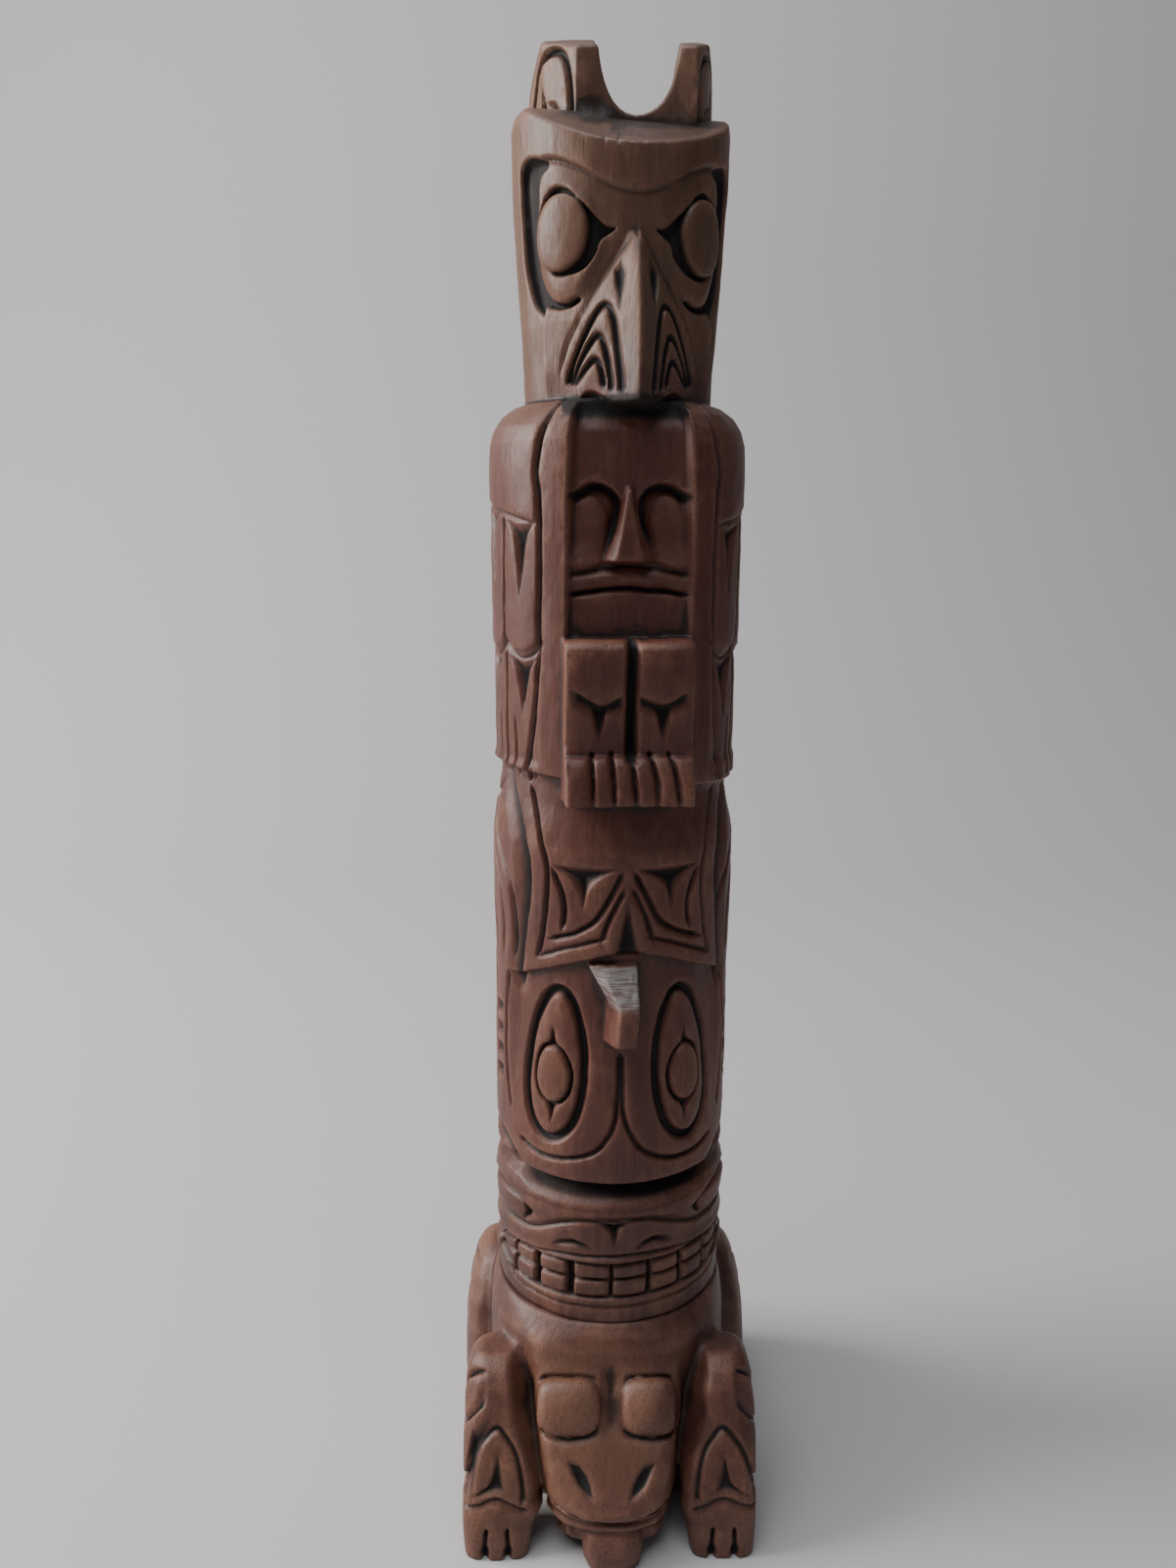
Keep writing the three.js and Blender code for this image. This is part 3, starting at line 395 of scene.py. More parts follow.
def carve_face(s):
    s.centre = WHALE_TURN
    angle = turn_of - WHALE_TURN
    below = 1 - smoothstep(s.v, arch(angle) - 0.5, arch(angle) + 0.3)
    within = 1 - smoothstep(np.abs(angle), 54, 66)
    s.height -= np.interp(s.v, [140, 160, 190, 224], [0, 0.5, 2.0, 3.3]) * below * within
    lips = [(a, 132.4 + 11 * smoothstep(abs(a), 42, 74)) for a in range(-104, 105, 6)]
    s.groove(lips, 0.7, 6.5, 4.8)
    for side in (-1, 1):
        across = side * 33.4
        ring = egg((across, 178.6), (15.8, 28.6), 0.12, -side * 0.07, 24)
        s.groove(ring, 2.2, 2.4, 2.9, closed=True, floor=0.25)
        rows, columns, into = s.inside(ring)
        s.height[rows, columns] += 0.8 * smoothstep(into, 1, 7)
        iris = egg((across, 175.2), (9.6, 11.2), 0, 0, 18)
        s.groove(iris, 1.1, 0.8, 2.4, closed=True, floor=0.2)
        s.dome((across, 175.2), (9.2, 10.8), 1.4)
        for foot, point in ((184.6, 194.0), (165.4, 155.6)):
            pit = [(across - 4.6, foot), (across, foot + (point - foot) * 0.1),
                   (across + 4.6, foot), (across + 1.5, foot + (point - foot) * 0.4),
                   (across, point), (across - 1.5, foot + (point - foot) * 0.4)]
            s.chip(pit, (across, foot + (point - foot) * 0.3), 3.0)
    cheek = [(0, 186), (0.3, 176), (0.7, 167), (1.6, 160.6), (5, 153.4), (11.5, 147.2),
             (22, 143.3), (35, 141.9), (47, 143), (54.4, 145.6)]
    s.both(cheek, 1.9, 0.9, 2.1, ends=1.5)


carve_face(post)

# %% [markdown]
# The folded tail is a raised panel with hollow sides. Its drawing is mirrored
# about the middle: a long T-cut in each upper corner, curved bands that sweep
# down and out, and a slit that opens downwards over the nose.


# %% Carve the tail panel and the whale's flanks
def carve_panel(s):
    s.centre = PANEL_TURN
    edge = [(69, 284), (62.5, 276), (56, 269), (50.6, 260), (48.4, 252), (48, 244),
            (49.2, 236), (51, 227), (53.2, 218), (55, 210.4)]
    s.groove(edge, 9.0, 0.5, 3.0, ends=0)
    s.groove(mirror(edge), 9.0, 0.5, 3.0, ends=0)
    rim = [(51.6, 280), (46.4, 271), (42, 262), (38.8, 253), (38.2, 244), (39.6, 234),
           (42, 225), (44.6, 218.8)]
    foot = [(8.5, 229.2), (16, 227.4), (26, 224.6), (35, 221.8), (44.6, 218.8)]
    sweep = [(2.2, 253.6), (6, 247.6), (11, 240), (15.5, 235), (22, 231.4), (29, 228.8),
             (38, 226.4)]
    inner = [(1.4, 247.4), (5, 241.8), (8.6, 236), (11, 231), (12.4, 226.4)]
    hook = [(36.4, 253.2), (33.2, 248.4), (30.6, 243.6), (29.6, 238), (31, 230.4)]
    for path, left, right, depth in (
            (rim, 1.0, 1.5, 2.0), (foot, 1.4, 0.9, 1.8), (sweep, 0.9, 2.0, 2.2),
            (inner, 0.9, 1.7, 2.0), (hook, 0.8, 1.9, 2.1)):
        s.both(path, left, right, depth, ends=2)
    tee = [(35.4, 254.2), (20, 254.3), (3.2, 254.2), (9, 252.0), (14.4, 249.2), (18.0, 245),
           (20, 238.6), (22.2, 245), (25.8, 249.2), (30, 252)]
    s.both_chips(tee, (19.8, 250.2), 3.4)
    s.chip([(0, 243.6), (1.8, 237), (4.4, 230), (7.4, 222), (0, 221.6), (-7.4, 222), (-4.4, 230),
            (-1.8, 237)], (0, 226.4), 3.8)


def carve_flanks(s):
    s.centre = WHALE_TURN
    fins = [
        [(86, 268), (77, 259), (68, 251), (60.6, 243.5), (56.8, 233), (57, 222), (60, 212)],
        [(96, 262), (86, 254), (77, 246), (70, 236), (67.6, 225), (69, 214)],
        [(106, 255), (97, 246), (88, 238), (81.6, 228), (79.6, 218), (81, 210)],
        [(76, 279), (84, 273), (95, 270), (106, 268)],
    ]
    ribs = [
        [(63.5, 209), (66, 196), (66.8, 182), (65.6, 168), (61.5, 154)],
        [(82, 207), (85, 196), (86, 184), (84.6, 172), (80, 160)],
        [(97, 210), (101, 198), (102, 186), (100, 174), (95, 163)],
    ]
    for path in fins:
        s.both(path, 2.6, 0.9, 2.3)
    for path in ribs:
        s.both(path, 1.3, 1.3, 1.9)
    for up in (166, 174.5, 183, 191.5):
        box = [(70.5, up - 2.4), (79.5, up - 2.8), (79.5, up + 2.4), (70.5, up + 2.8)]
        s.both_chips(box, (75, up), 2.2, 0.5)


carve_panel(post)
carve_flanks(post)
print("whale carved")

# %% [markdown]
# ## Wings
#
# The eagle's wings are folded down its sides. Their front edge is a long groove
# that leaves a smooth rib beside the niche. Feathers come in two rows: each starts
# with a T-cut, ends in a round tip, and is parted from the next by a straight seam.


# %% Carve the wings
FEATHER = 26.0                   # degrees from one feather to the next


def carve_wings(s):
    s.centre = MAN_TURN
    angle = np.abs(turn_of - MAN_TURN)
    wing = smoothstep(angle, 41, 45) * (1 - smoothstep(angle, 112, 124))
    # The shoulders swell, and each row of feathers lies a little lower.
    line = 362.5 + 0.16 * angle
    s.height += 0.5 * wing * smoothstep(s.v, line - 1, line + 1) * (1 - smoothstep(s.v, 398, 408))
    tips = 327 + 5.5 * np.abs(((angle - 53.5) / FEATHER + 0.5) % 1 - 0.5) ** 2 * 4
    lower_row = smoothstep(s.v, 286, 290) * (1 - smoothstep(s.v, tips - 0.7, tips + 0.7))
    s.height -= 0.9 * wing * lower_row
    s.both([(37, 411), (39, 402), (41.6, 393), (43.4, 386), (42.2, 379), (41.2, 366),
            (41, 352), (42, 336), (43, 322), (45.4, 306), (48.4, 293), (51.5, 281)],
           1.9, 1.0, 2.1, ends=1)
    s.both([(a, 362.5 + 0.16 * a) for a in range(41, 117, 6)], 0.5, 1.6, 1.2)
    s.both([(112, 398), (108, 374), (104, 340), (101, 306), (99, 283)], 1.3, 1.3, 1.8)
    for i in range(3):
        across = 53.5 + i * FEATHER
        for top, fall, foot in ((362 + 0.16 * across, 28.5, 327), (325.5, 23, 283)):
            tee = [(across - 10, top), (across, top - 1.8), (across + 10, top),
                   (across + 5.6, top - 4.0), (across + 3.8, top - 9.4),
                   (across + 2.0, top - fall * 0.62), (across, top - fall),
                   (across - 2.0, top - fall * 0.62), (across - 3.8, top - 9.4),
                   (across - 5.6, top - 4.0)]
            s.both_chips(tee, (across, top - 7), 3.2)
            seam = across + FEATHER / 2
            s.both([(seam, top + 0.5), (seam + 0.4, top - 14), (seam + 0.2, foot)],
                   1.0, 1.0, 1.7, ends=0.5)
        tip = level(lambda a: 324.6 + 6.5 * ((a - across) / 13) ** 2, across - 13, across + 13, 4)
        s.both(tip, 0.5, 1.9, 1.5, ends=0.8)
        for shift in (-6.2, 6.2):
            s.both([(across + shift, 304), (across + shift * 0.9, 293), (across + shift, 282)],
                   0.8, 0.8, 1.3)


carve_wings(post)
print("wings carved")

# %% [markdown]
# ## The man in the niche
#
# Between the wings the post is cut back to a flat wall, and a face is left
# standing on it: brows over hollow eyes, a wedge of a nose and a long mouth. His
# knees and feet are one block that stands out in front. Both are flat things, so
# each gets a flat sheet of its own, which is then pushed into the round post.

# %% The man's face
NICHE_WALL = 35.6                # mm in front of the axis
NICHE_HALF = 21.3
face = Sheet(-26, 26, 290, NICHE_TOP, STEP, seed=31)


def carve_man(s):
    x, z = s.u, s.v
    # A forehead that leans out to the brow, hollow eyes, a full chin.
    s.height += 1.8 * smoothstep(z, 405, 386) * (1 - (x / 26) ** 2)
    s.height += 1.2 * (1 - smoothstep(np.abs(x), 12, 24)) * (1 - smoothstep(z, 344, 350))
    bow = np.where(np.abs(x) < 11, 0.075, 0.062)
    brow = 382.2 - bow * (np.abs(x) - 11) ** 2
    under = 1 - smoothstep(z, brow - 1.1, brow + 0.2)
    hollow = smoothstep(np.abs(x), 2.6, 7.0) * smoothstep(z, 354, 366)
    s.height -= 4.6 * under * hollow
    s.height -= 1.2 * under * smoothstep(z, 350, 372) * (1 - hollow)
    # Each eye is a broad dome that starts right under the brow.
    for side in (-1, 1):
        s.dome((side * 15.4, 367.6), (9.6, 13.4), 4.4, 2.2)
        s.groove([(side * a, up) for a, up in ((6.4, 357.6), (10, 355.8), (16, 355.2), (22, 356))],
                 0.8, 1.2, 1.0)
    # Each brow is undercut, and the cut runs on down beside the nose.
    s.both([(22.6, 371), (20.6, 376.4), (16.6, 380.2), (11.2, 381.8), (6.2, 380.2), (3.6, 375.6),
            (4.6, 368), (8.2, 359)], 3.6, 0.5, 2.6)
    # The nose widens and stands out towards its foot.
    tall = np.clip((381 - z) / 24.5, 0, 1)
    half = 2.0 + 9.6 * tall ** 1.35
    out = 5.4 + 2.6 * tall
    ridge = np.clip(1 - np.abs(x + 0.4) / half, 0, 1)
    nose = out * np.minimum(ridge * 1.5, 1) * smoothstep(z, 356.2, 357.2) * smoothstep(z, 384, 379)
    s.height = np.where(z < 385, np.maximum(s.height, nose - 1.2), s.height)
    sag = (x / 20) ** 2
    lip = np.exp(-((z - (352.2 - 2.6 * sag)) / 2.0) ** 2)
    s.height += 1.5 * lip * (1 - smoothstep(np.abs(x), 20, 24))
    s.groove([(a, 348.7 - 2.6 * (a / 20) ** 2) for a in range(-21, 22, 3)], 0.7, 1.6, 2.8)
    s.groove([(a, 355.8 - 3.0 * (a / 20) ** 2) for a in range(-20, 21, 4)], 0.8, 1.8, 1.4)
    s.height += 0.12 * lattice(5, x / 6, z / 5)


carve_man(face)


# %% Knees, shins and feet
legs = Sheet(-26, 26, 270, 336, STEP, seed=41)
KNEE_TOP, FOOT_TOP, FOOT_BOTTOM = 332.2, 293.8, 277.0


def carve_legs(s):
    x, z = s.u, s.v
    side_profile = [
        (277, 53.4), (281, 53.2), (287, 51.8), (291, 50.2), (293.2, 48.8), (294.0, 46.4),
        (297, 46.6), (305, 47.6), (316, 49.0), (325, 49.4), (329.4, 49.2), (331.4, 47.6),
        (332.2, 44.0),
    ]
    s.height += np.interp(z, *np.array(side_profile).T)
    # Two knees, each a little rounded, with a deep valley between the legs.
    knee = z > FOOT_TOP
    swell = 1 - np.abs((np.abs(x) - 10.4) / 11.5) ** 2.6
    s.height += np.where(knee, 1.3 * (swell - 1) * smoothstep(z, 294, 298), 0)
    s.groove([(0.3, 337), (0, 322), (0, 308), (0.2, 293)], 3.0, 2.4, 4.4, ends=0)
    fold = [(19.8, 315.4), (15.4, 312.6), (11, 310.6), (7.4, 311.2), (2.4, 313.6)]
    s.both(fold, 4.6, 0.5, 2.4, ends=0.6)
    wedge = [(5.4, 312.6), (10.8, 310.6), (16.0, 313.2), (13.8, 306.6), (11.4, 298.4), (8.4, 306.6)]
    s.both_chips(wedge, (11.4, 308.6), 4.0)
    toe = z < FOOT_TOP
    gaps = [-13.4, -6.6, 0.3, 7.2, 14.0]
    edges = [-21] + gaps + [21]
    for left, right in zip(edges[:-1], edges[1:]):
        middle, half = (left + right) / 2, (right - left) / 2
        s.height += np.where(toe & (np.abs(x - middle) < half),
                             -0.9 * (np.abs(x - middle) / half) ** 3, 0)
    for gap in gaps:
        s.groove([(gap - 0.6, 294.4), (gap + 0.4, 289), (gap + 1.0, 282), (gap + 1.2, 274)],
                 1.3, 0.8, 2.3, ends=0)


carve_legs(legs)

# %% [markdown]
# Every form on the post is a distance from its axis, so a flat wall is written as
# the distance at which each ray from the axis meets that wall. Taking the larger
# of two such distances adds a form, and the smaller cuts one away.


# %% Push the niche and the legs into the post
def seen_from_axis(turn):
    """Sine and cosine of the angle from a figure's own front."""
    angle = np.radians(turn_of - turn)
    return np.sin(angle), np.cos(angle)


def soft_min(a, b, blend):
    """The smaller of two, with the corner between them rounded over `blend` mm."""
    share = np.clip(0.5 + 0.5 * (b - a) / blend, 0, 1)
    return b + (a - b) * share - blend * share * (1 - share)


def soft_max(a, b, blend):
    return -soft_min(-a, -b, blend)


def hollow_niche(s):
    sine, cosine = seen_from_axis(MAN_TURN)
    ahead = cosine > 0.3
    slope = np.where(ahead, sine / np.maximum(cosine, 0.3), 9)
    x = slope * NICHE_WALL
    wall = NICHE_WALL + face.at(face.height - face.cut, x, s.v) - 3.5 * smoothstep(s.v, 398, 407)
    wall = wall / np.maximum(cosine, 0.3)
    top = NICHE_TOP - 1.6 * smoothstep(np.abs(x), 14, 21)
    narrow = NICHE_HALF - 0.5 * smoothstep(s.v, 330, 400) + 0.25 * lattice(7, s.v / 14, s.v * 0)
    # The ray's sideways place at the post's own skin tells if it is between the wings.
    opening = np.abs(POST * sine) - narrow
    inside = ahead & (opening < 0) & (s.v < top) & (s.v > FOOT_BOTTOM)
    edge = smoothstep(-opening, 0, 1.2)
    s.height = np.where(inside, s.height + (np.minimum(wall, s.height) - s.height) * edge, s.height)
    s.cut = np.where(inside, 0, s.cut)
    s.stain = np.where(inside, face.at(face.cut, x, s.v), s.stain)


def add_legs(s):
    sine, cosine = seen_from_axis(MAN_TURN)
    ahead = cosine > 0.3
    cosine = np.maximum(cosine, 0.3)
    x = sine / cosine * 49
    front = legs.at(legs.height - legs.cut, x, s.v) / cosine
    # The left side leans outwards as it goes back, the right one is square.
    half = np.where(sine < 0, 21.6 + 0.12 * np.maximum(49 - 49 * cosine, 0), 21.2)
    sides = half / np.maximum(np.abs(sine), 1e-3)
    block = soft_min(front, sides, 1.2)
    present = ahead & (s.v > FOOT_BOTTOM) & (s.v < KNEE_TOP)
    bigger = present & (block > s.height)
    s.height = np.where(bigger, block, s.height)
    s.cut = np.where(bigger, 0, s.cut)
    s.stain = np.where(bigger, legs.at(legs.cut, x, s.v), s.stain)


post.stain = np.zeros_like(post.cut)   # cuts already taken off the height
hollow_niche(post)
add_legs(post)
print("niche and legs set in")


# %% [markdown]
# ## Nose fin
#
# A short wedge stands out above the whale's nose. Its top is a rough saw cut, and
# a chip has broken from its left side, which is kept as it is.

# %% Add the fin
def add_fin(s):
    sine, cosine = seen_from_axis(WHALE_TURN)
    ahead = cosine > 0.5
    cosine = np.maximum(cosine, 0.5)
    front = np.interp(s.v, [190.4, 192.4, 204, 206.4, 218.6], [50.4, 53.6, 54.8, 53.8, 43.2])
    slant = np.interp(s.v, [190, 206, 218.6], [-2.0, -1.0, -8.4])
    right = np.interp(s.v, [190, 218.6], [4.4, 6.2])
    x = sine / cosine * 47
    rough = 0.35 * lattice(61, x / 1.1, s.v / 1.6) + 0.3 * lattice(62, x / 3, s.v / 2.4)
    chipped = 1.8 * np.clip(1 - np.hypot((x + 4.2) / 2.2, (s.v - 203) / 3.4), 0, 1)
    top = front / cosine + rough * smoothstep(s.v, 204, 209)
    # The left face runs slantwise back to the wall, the right one straight.
    back_left = slant - 4.6
    left_face = 43 + (x - back_left) * (front - 43) / np.maximum(slant - back_left, 0.5)
    block = np.where(x < slant, left_face / cosine - chipped, top)
    block = np.where(x > right, -99, block)
    block = np.where(x < back_left, -99, block)
    present = ahead & (s.v > 190.4) & (s.v < 218.8) & (block > s.height)
    s.height = np.where(present, block, s.height)
    s.cut = np.where(present, 0, s.cut)
    s.centre = WHALE_TURN
    s.groove([(-6.4, 198.6), (-4.6, 200.2), (-2.6, 200.6)], 0.5, 0.5, 1.0)


add_fin(post)


# %% [markdown]
# ## Eagle's head
#
# The head is slimmer than the post. A broad band crosses the brow and its lower
# edge dips to a point over the beak. A square-cornered channel frames the eye
# panel, and in it sits a big domed eye in a socket drawn out to a point towards
# the nose. The beak is a wedge with a straight ridge; three nested folds are cut
# into each of its slopes, and its underside is scooped out beside the tip.

# %% Carve the head
def carve_head(s):
    s.centre = HEAD_TURN
    # Small splinters have broken from the rim of the forehead.
    for a, half, z, deep in ((-17, 1.6, 484.6, 1.6), (-10.5, 2.4, 484.2, 2.2), (-5, 1.2, 484.8, 1.4),
                             (1.5, 1.8, 484.6, 1.6), (13, 1.2, 485.0, 1.2)):
        s.chip([(a - half, z + 3), (a + half, z + 2.6), (a + 0.4 * half, z - 1.2)], (a, z + 1.8), deep)
    angle = turn_of - HEAD_TURN
    wide = np.abs(angle)
    brow = 471.6 + 11 * smoothstep(wide, 0, 52)
    below = (1 - smoothstep(s.v, brow - 0.8, brow + 0.3)) * smoothstep(s.v, 408, 425)
    s.height -= 1.2 * below * (1 - smoothstep(wide, 62, 74))
    for low, high, deep in ((-66, -16, 1.2), (-24, 24, 0.5), (18, 66, 0.9)):
        s.groove(level(lambda a: 471.0 + 11 * smoothstep(abs(a), 0, 52), low, high, 4),
                 0.4, 1.6, deep, ends=8)
    channel = [(54, 482.6), (64, 484), (72.5, 481), (73.6, 470), (73, 458), (70.6, 447),
               (66, 439.6), (58, 436), (48, 434.8), (38, 436), (30, 439.4),
               (33, 440.6), (40, 439.4), (48, 440.2), (54, 443.4), (57.4, 449.6), (58.4, 459),
               (58, 470), (56, 477), (49, 480)]
    socket = [(10.2, 460.3), (16.5, 461.2), (21.5, 463.6), (28.5, 467.8), (35.5, 471.8),
              (43, 473.8), (50.6, 472.6), (56, 468.6), (60, 461), (56.4, 453), (49, 448.4),
              (40, 446.6), (28.5, 447.9), (21.4, 452.4), (19, 456.6)]
    for side in (-1, 1):
        s.recess([(side * a, z) for a, z in channel], 3.0)
        # The panel bulges round the eye and rolls under to the cheek line.
        rows, columns, into = s.inside(egg((side * 39, 456), (22.5, 19)))
        s.height[rows, columns] += 1.3 * smoothstep(into, 0, 6)
        s.recess([(side * a, z) for a, z in socket], 2.9, 0.9)
        rows, columns, into = s.inside(egg((side * 42.4, 459.8), (17.2, 11.9)))
        ball = smoothstep(into, -0.2, 0.8)
        s.cut[rows, columns] *= 1 - ball
        s.dome((side * 42.4, 459.8), (17.2, 11.9), 1.6, 2.2)


def add_beak(s):
    sine, cosine = seen_from_axis(HEAD_TURN)
    ahead = cosine > 0.4
    cosine = np.maximum(cosine, 0.4)
    z = s.v
    levels = np.array([
        # height, half width, depth at the cheeks, depth of the ridge
        (403.6, 27.2, 18.4, 45.6), (408, 27.2, 18.8, 46.6), (418, 24.6, 22.6, 46.8),
        (434, 15.6, 31.0, 45.4), (448, 7.8, 33.8, 41.6), (456, 3.4, 35.0, 38.2),
        (459, 1.6, 35.0, 35.6)]).T
    half, cheek, ridge = (np.interp(z, levels[0], row) for row in levels[1:])
    knee_x, knee_y = half * 0.40, cheek + (ridge - cheek) * 0.52 + 1.2
    abreast = np.abs(sine)
    # Where a ray from the axis meets the slopes: ridge to knee, and knee to cheek.
    def meet(x0, y0, x1, y1):
        return (x0 * y1 - y0 * x1) / np.minimum(abreast * (y1 - y0) - cosine * (x1 - x0), -1e-4)
    near = meet(0.6, ridge, knee_x, knee_y)
    far = meet(knee_x, knee_y, half, cheek)
    slope = np.where(abreast < knee_x / np.hypot(knee_x, knee_y), near, far)
    slope = soft_min(slope, (ridge + 0.1) / cosine, 0.3)
    beside = np.abs(np.degrees(np.arcsin(sine)))
    foot = 406.4 + 4.8 * np.exp(-((beside - 24) / 9.5) ** 2)
    present = ahead & (z > foot) & (z < 459) & (slope > s.height - 0.3) & (beside < 56)
    s.height = np.where(present, soft_max(slope, s.height, 0.6), s.height)
    s.cut = np.where(present & (slope > s.height - 0.8), 0, s.cut)


def carve_beak(s):
    s.centre = HEAD_TURN
    folds = [
        [(39.6, 413.6), (36, 419), (30, 426), (23.4, 432.6), (17.6, 436.8), (13.4, 436.6),
         (10.6, 431), (8.8, 422), (7.4, 414), (6.8, 409.4)],
        [(37.6, 413.2), (32, 418.8), (26.6, 423.8), (21.4, 427.6), (17.8, 427.8), (14.8, 422.6),
         (12.8, 415.6), (11.8, 410.4)],
        [(35.4, 413.6), (30, 416.2), (25.6, 418.8), (21.8, 420.8), (18.8, 419.6), (16.8, 415.4),
         (15.8, 411.6)],
    ]
    # The cheek is cut down along the edge of the beak.
    edge = [(0.4, 459), (8, 452.8), (14, 447.6), (20, 442.6), (25.5, 437.6), (30.6, 432.8),
            (36, 428), (40, 423.4), (44, 416.6)]
    s.both(edge, 2.6, 0.4, 1.1)
    nostril = [(7.0, 451.4), (11.6, 447.6), (10.8, 441.6), (8.0, 434.4), (5.6, 442), (4.8, 447.4)]
    s.both_chips(nostril, (8.4, 443.6), 2.8)
    for fold in folds:
        s.both(fold, 1.7, 1.3, 1.9, ends=1.0, floor=0.4)


carve_head(post)
add_beak(post)
carve_beak(post)
print("head carved")

# %% [markdown]
# ## From the sheet to a solid
#
# Now the paper is wrapped round. The cuts come off the wood, the forehead is
# sliced down to the front, and a faint unevenness from the blade is added. The
# front gets close-set points because the carving is there; the plain back needs
# few. Two flat lids close the column.


# %% Wrap the sheet into a closed column
def slice_forehead(s):
    sine, cosine = seen_from_axis(HEAD_TURN)
    cosine = np.maximum(cosine, 0.05)
    reach = 37.2 - (s.plain_v - (484.0 + 1.6 * smoothstep(-sine, 0.2, 0.9))) / 0.58
    limit = np.where(s.plain_v > 474, np.maximum(reach, 0.5) / cosine, 1e3)
    return np.where(np.abs(turn_of - HEAD_TURN) < 88, soft_min(s.height, limit, 0.8), s.height)


def soften(grid, mm):
    """Rounds every edge by a little, as sanding does."""
    reach = int(math.ceil(2.5 * mm / STEP))
    taps = np.exp(-0.5 * (np.arange(-reach, reach + 1) * STEP / mm) ** 2)
    taps /= taps.sum()
    rounded = sum(tap * np.roll(grid, shift, 1)
                  for tap, shift in zip(taps, range(-reach, reach + 1)))
    padded = np.pad(rounded, ((reach, reach), (0, 0)), mode="edge")
    rows = grid.shape[0]
    return sum(tap * padded[i:i + rows] for i, tap in enumerate(taps))


depth = post.cut * (1 + 0.12 * lattice(3, post.plain_u / 8, post.plain_v / 8))
uneven = (0.18 * lattice(21, post.plain_u / 7, post.plain_v / 12)
          + 0.10 * lattice(22, post.plain_u / 2.4, post.plain_v / 3.8))
post.height = post.height - depth + uneven
SANDED, SOAKED = 0.28, 0.3       # mm that edges are rounded, and that stain creeps
radius = soften(slice_forehead(post), SANDED)
# The depth of every cut is kept, and later darkens the colour both as stain and as painted shade.
post.stain = soften(np.maximum(post.cut, post.stain), SOAKED)
print("radius from", round(radius.min(), 1), "to", round(radius.max(), 1), "mm")


def make_mesh(name, points, faces):
    mesh = bpy.data.meshes.new(name)
    mesh.from_pydata([tuple(p) for p in np.asarray(points) * MM], [], faces)
    mesh.validate()
    thing = bpy.data.objects.new(name, mesh)
    bpy.context.scene.collection.objects.link(thing)
    return thing


def grid_faces(rows, columns):
    """Quads between the rows of points, the last column joined to the first."""
    j, i = np.meshgrid(np.arange(rows - 1), np.arange(columns), indexing="ij")
    k = (i + 1) % columns
    quads = np.stack([j * columns + i, j * columns + k, (j + 1) * columns + k,
                      (j + 1) * columns + i], -1)
    return quads.reshape(-1, 4).tolist()


CARVED_LEFT, CARVED_RIGHT = -104, 112   # degrees; between them the points lie close
FOOT = 70.0                      # the column starts inside the frog


def column_mesh():
    fine, coarse = ((0.56, 2.4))
    angles = np.concatenate([np.arange(CARVED_LEFT, CARVED_RIGHT, fine),
                             np.arange(CARVED_RIGHT, CARVED_LEFT + 360, coarse)])
    levels = np.arange(FOOT, CROWN + 0.01, 0.45)
    wrapped = (angles + 180) % 360 - 180
    a, z = np.meshgrid(wrapped, levels)
    r = post.at(radius, a * ROUND, z)
    t = np.radians(a)
    points = np.stack([r * np.sin(t), -r * np.cos(t), z], -1).reshape(-1, 3)
    rows, columns = a.shape
    faces = grid_faces(rows, columns)
    points = np.vstack([points, [0, 0, levels[0]], [0, 0, levels[-1]]])
    low, high = len(points) - 2, len(points) - 1
    last = (rows - 1) * columns
    faces += [[low, (i + 1) % columns, i] for i in range(columns)]
    faces += [[high, last + i, last + (i + 1) % columns] for i in range(columns)]
    return make_mesh("column", points, faces)


column = column_mesh()
print("column:", len(column.data.polygons), "faces")

# %% [markdown]
# ## Ears
#
# The two ears are sawn from the same block: first the round notch between them,
# seen from the front, then the slanting outer faces, seen from above, and the
# sloping tips, seen from the side. A volume is a good way to meet three outlines
# at once: each point keeps its distance to the nearest of them, and the surface
# is where that distance is nothing.


# %% Ears as a small volume
def bezier(*points, count=9):
    p = np.array(points, float)
    t = np.linspace(0, 1, count)[:, None]
    return ((1 - t) ** 3 * p[0] + 3 * (1 - t) ** 2 * t * p[1]
            + 3 * (1 - t) * t ** 2 * p[2] + t ** 3 * p[3])


def volume_mesh(name, field, corner, size, gentle=0.0):
    """Surface of a field that is negative inside, sampled every `size` mm."""
    grid = openvdb.FloatGrid()
    grid.background = 3.0
    grid.copyFromArray(np.clip(field, -3, 3).astype(np.float32))
    points, triangles, quads = grid.convertToPolygons(adaptivity=gentle)
    faces = quads.tolist() + triangles.tolist()
    return make_mesh(name, points * size + np.array(corner), faces)


def ear_lines(seed):
    """The ring and the drop cut into an ear's outer face, on a flat sheet."""
    s = Sheet(-4, 30, 488, 534, 0.25, seed=seed)
    s.groove([(2.6, 494), (3.0, 504), (4.4, 512), (7.4, 517.6), (11.6, 519.6), (16.6, 518.4),
              (21, 514.6), (24.2, 508), (26.2, 500), (27, 492)], 2.0, 1.4, 2.3, ends=0, floor=0.35)
    s.chip([(17.4, 512), (18.6, 506), (19.8, 500), (17.6, 495), (13.4, 494), (12.6, 500),
            (14.8, 504.6)], (16.6, 501), 3.4)
    s.groove([(14.6, 505), (11.4, 503.6), (8.6, 499.6), (7.8, 495)], 0.8, 1.6, 1.8)
    return s


# Side, the front corner of its outer face, and the drawing on that face.
EARS = [(-1, (-15.2, -15.2), ear_lines(50)), (1, (24.4, -14.6), ear_lines(52))]
EAR_LEAN = math.radians(52)      # how far the outer faces turn back


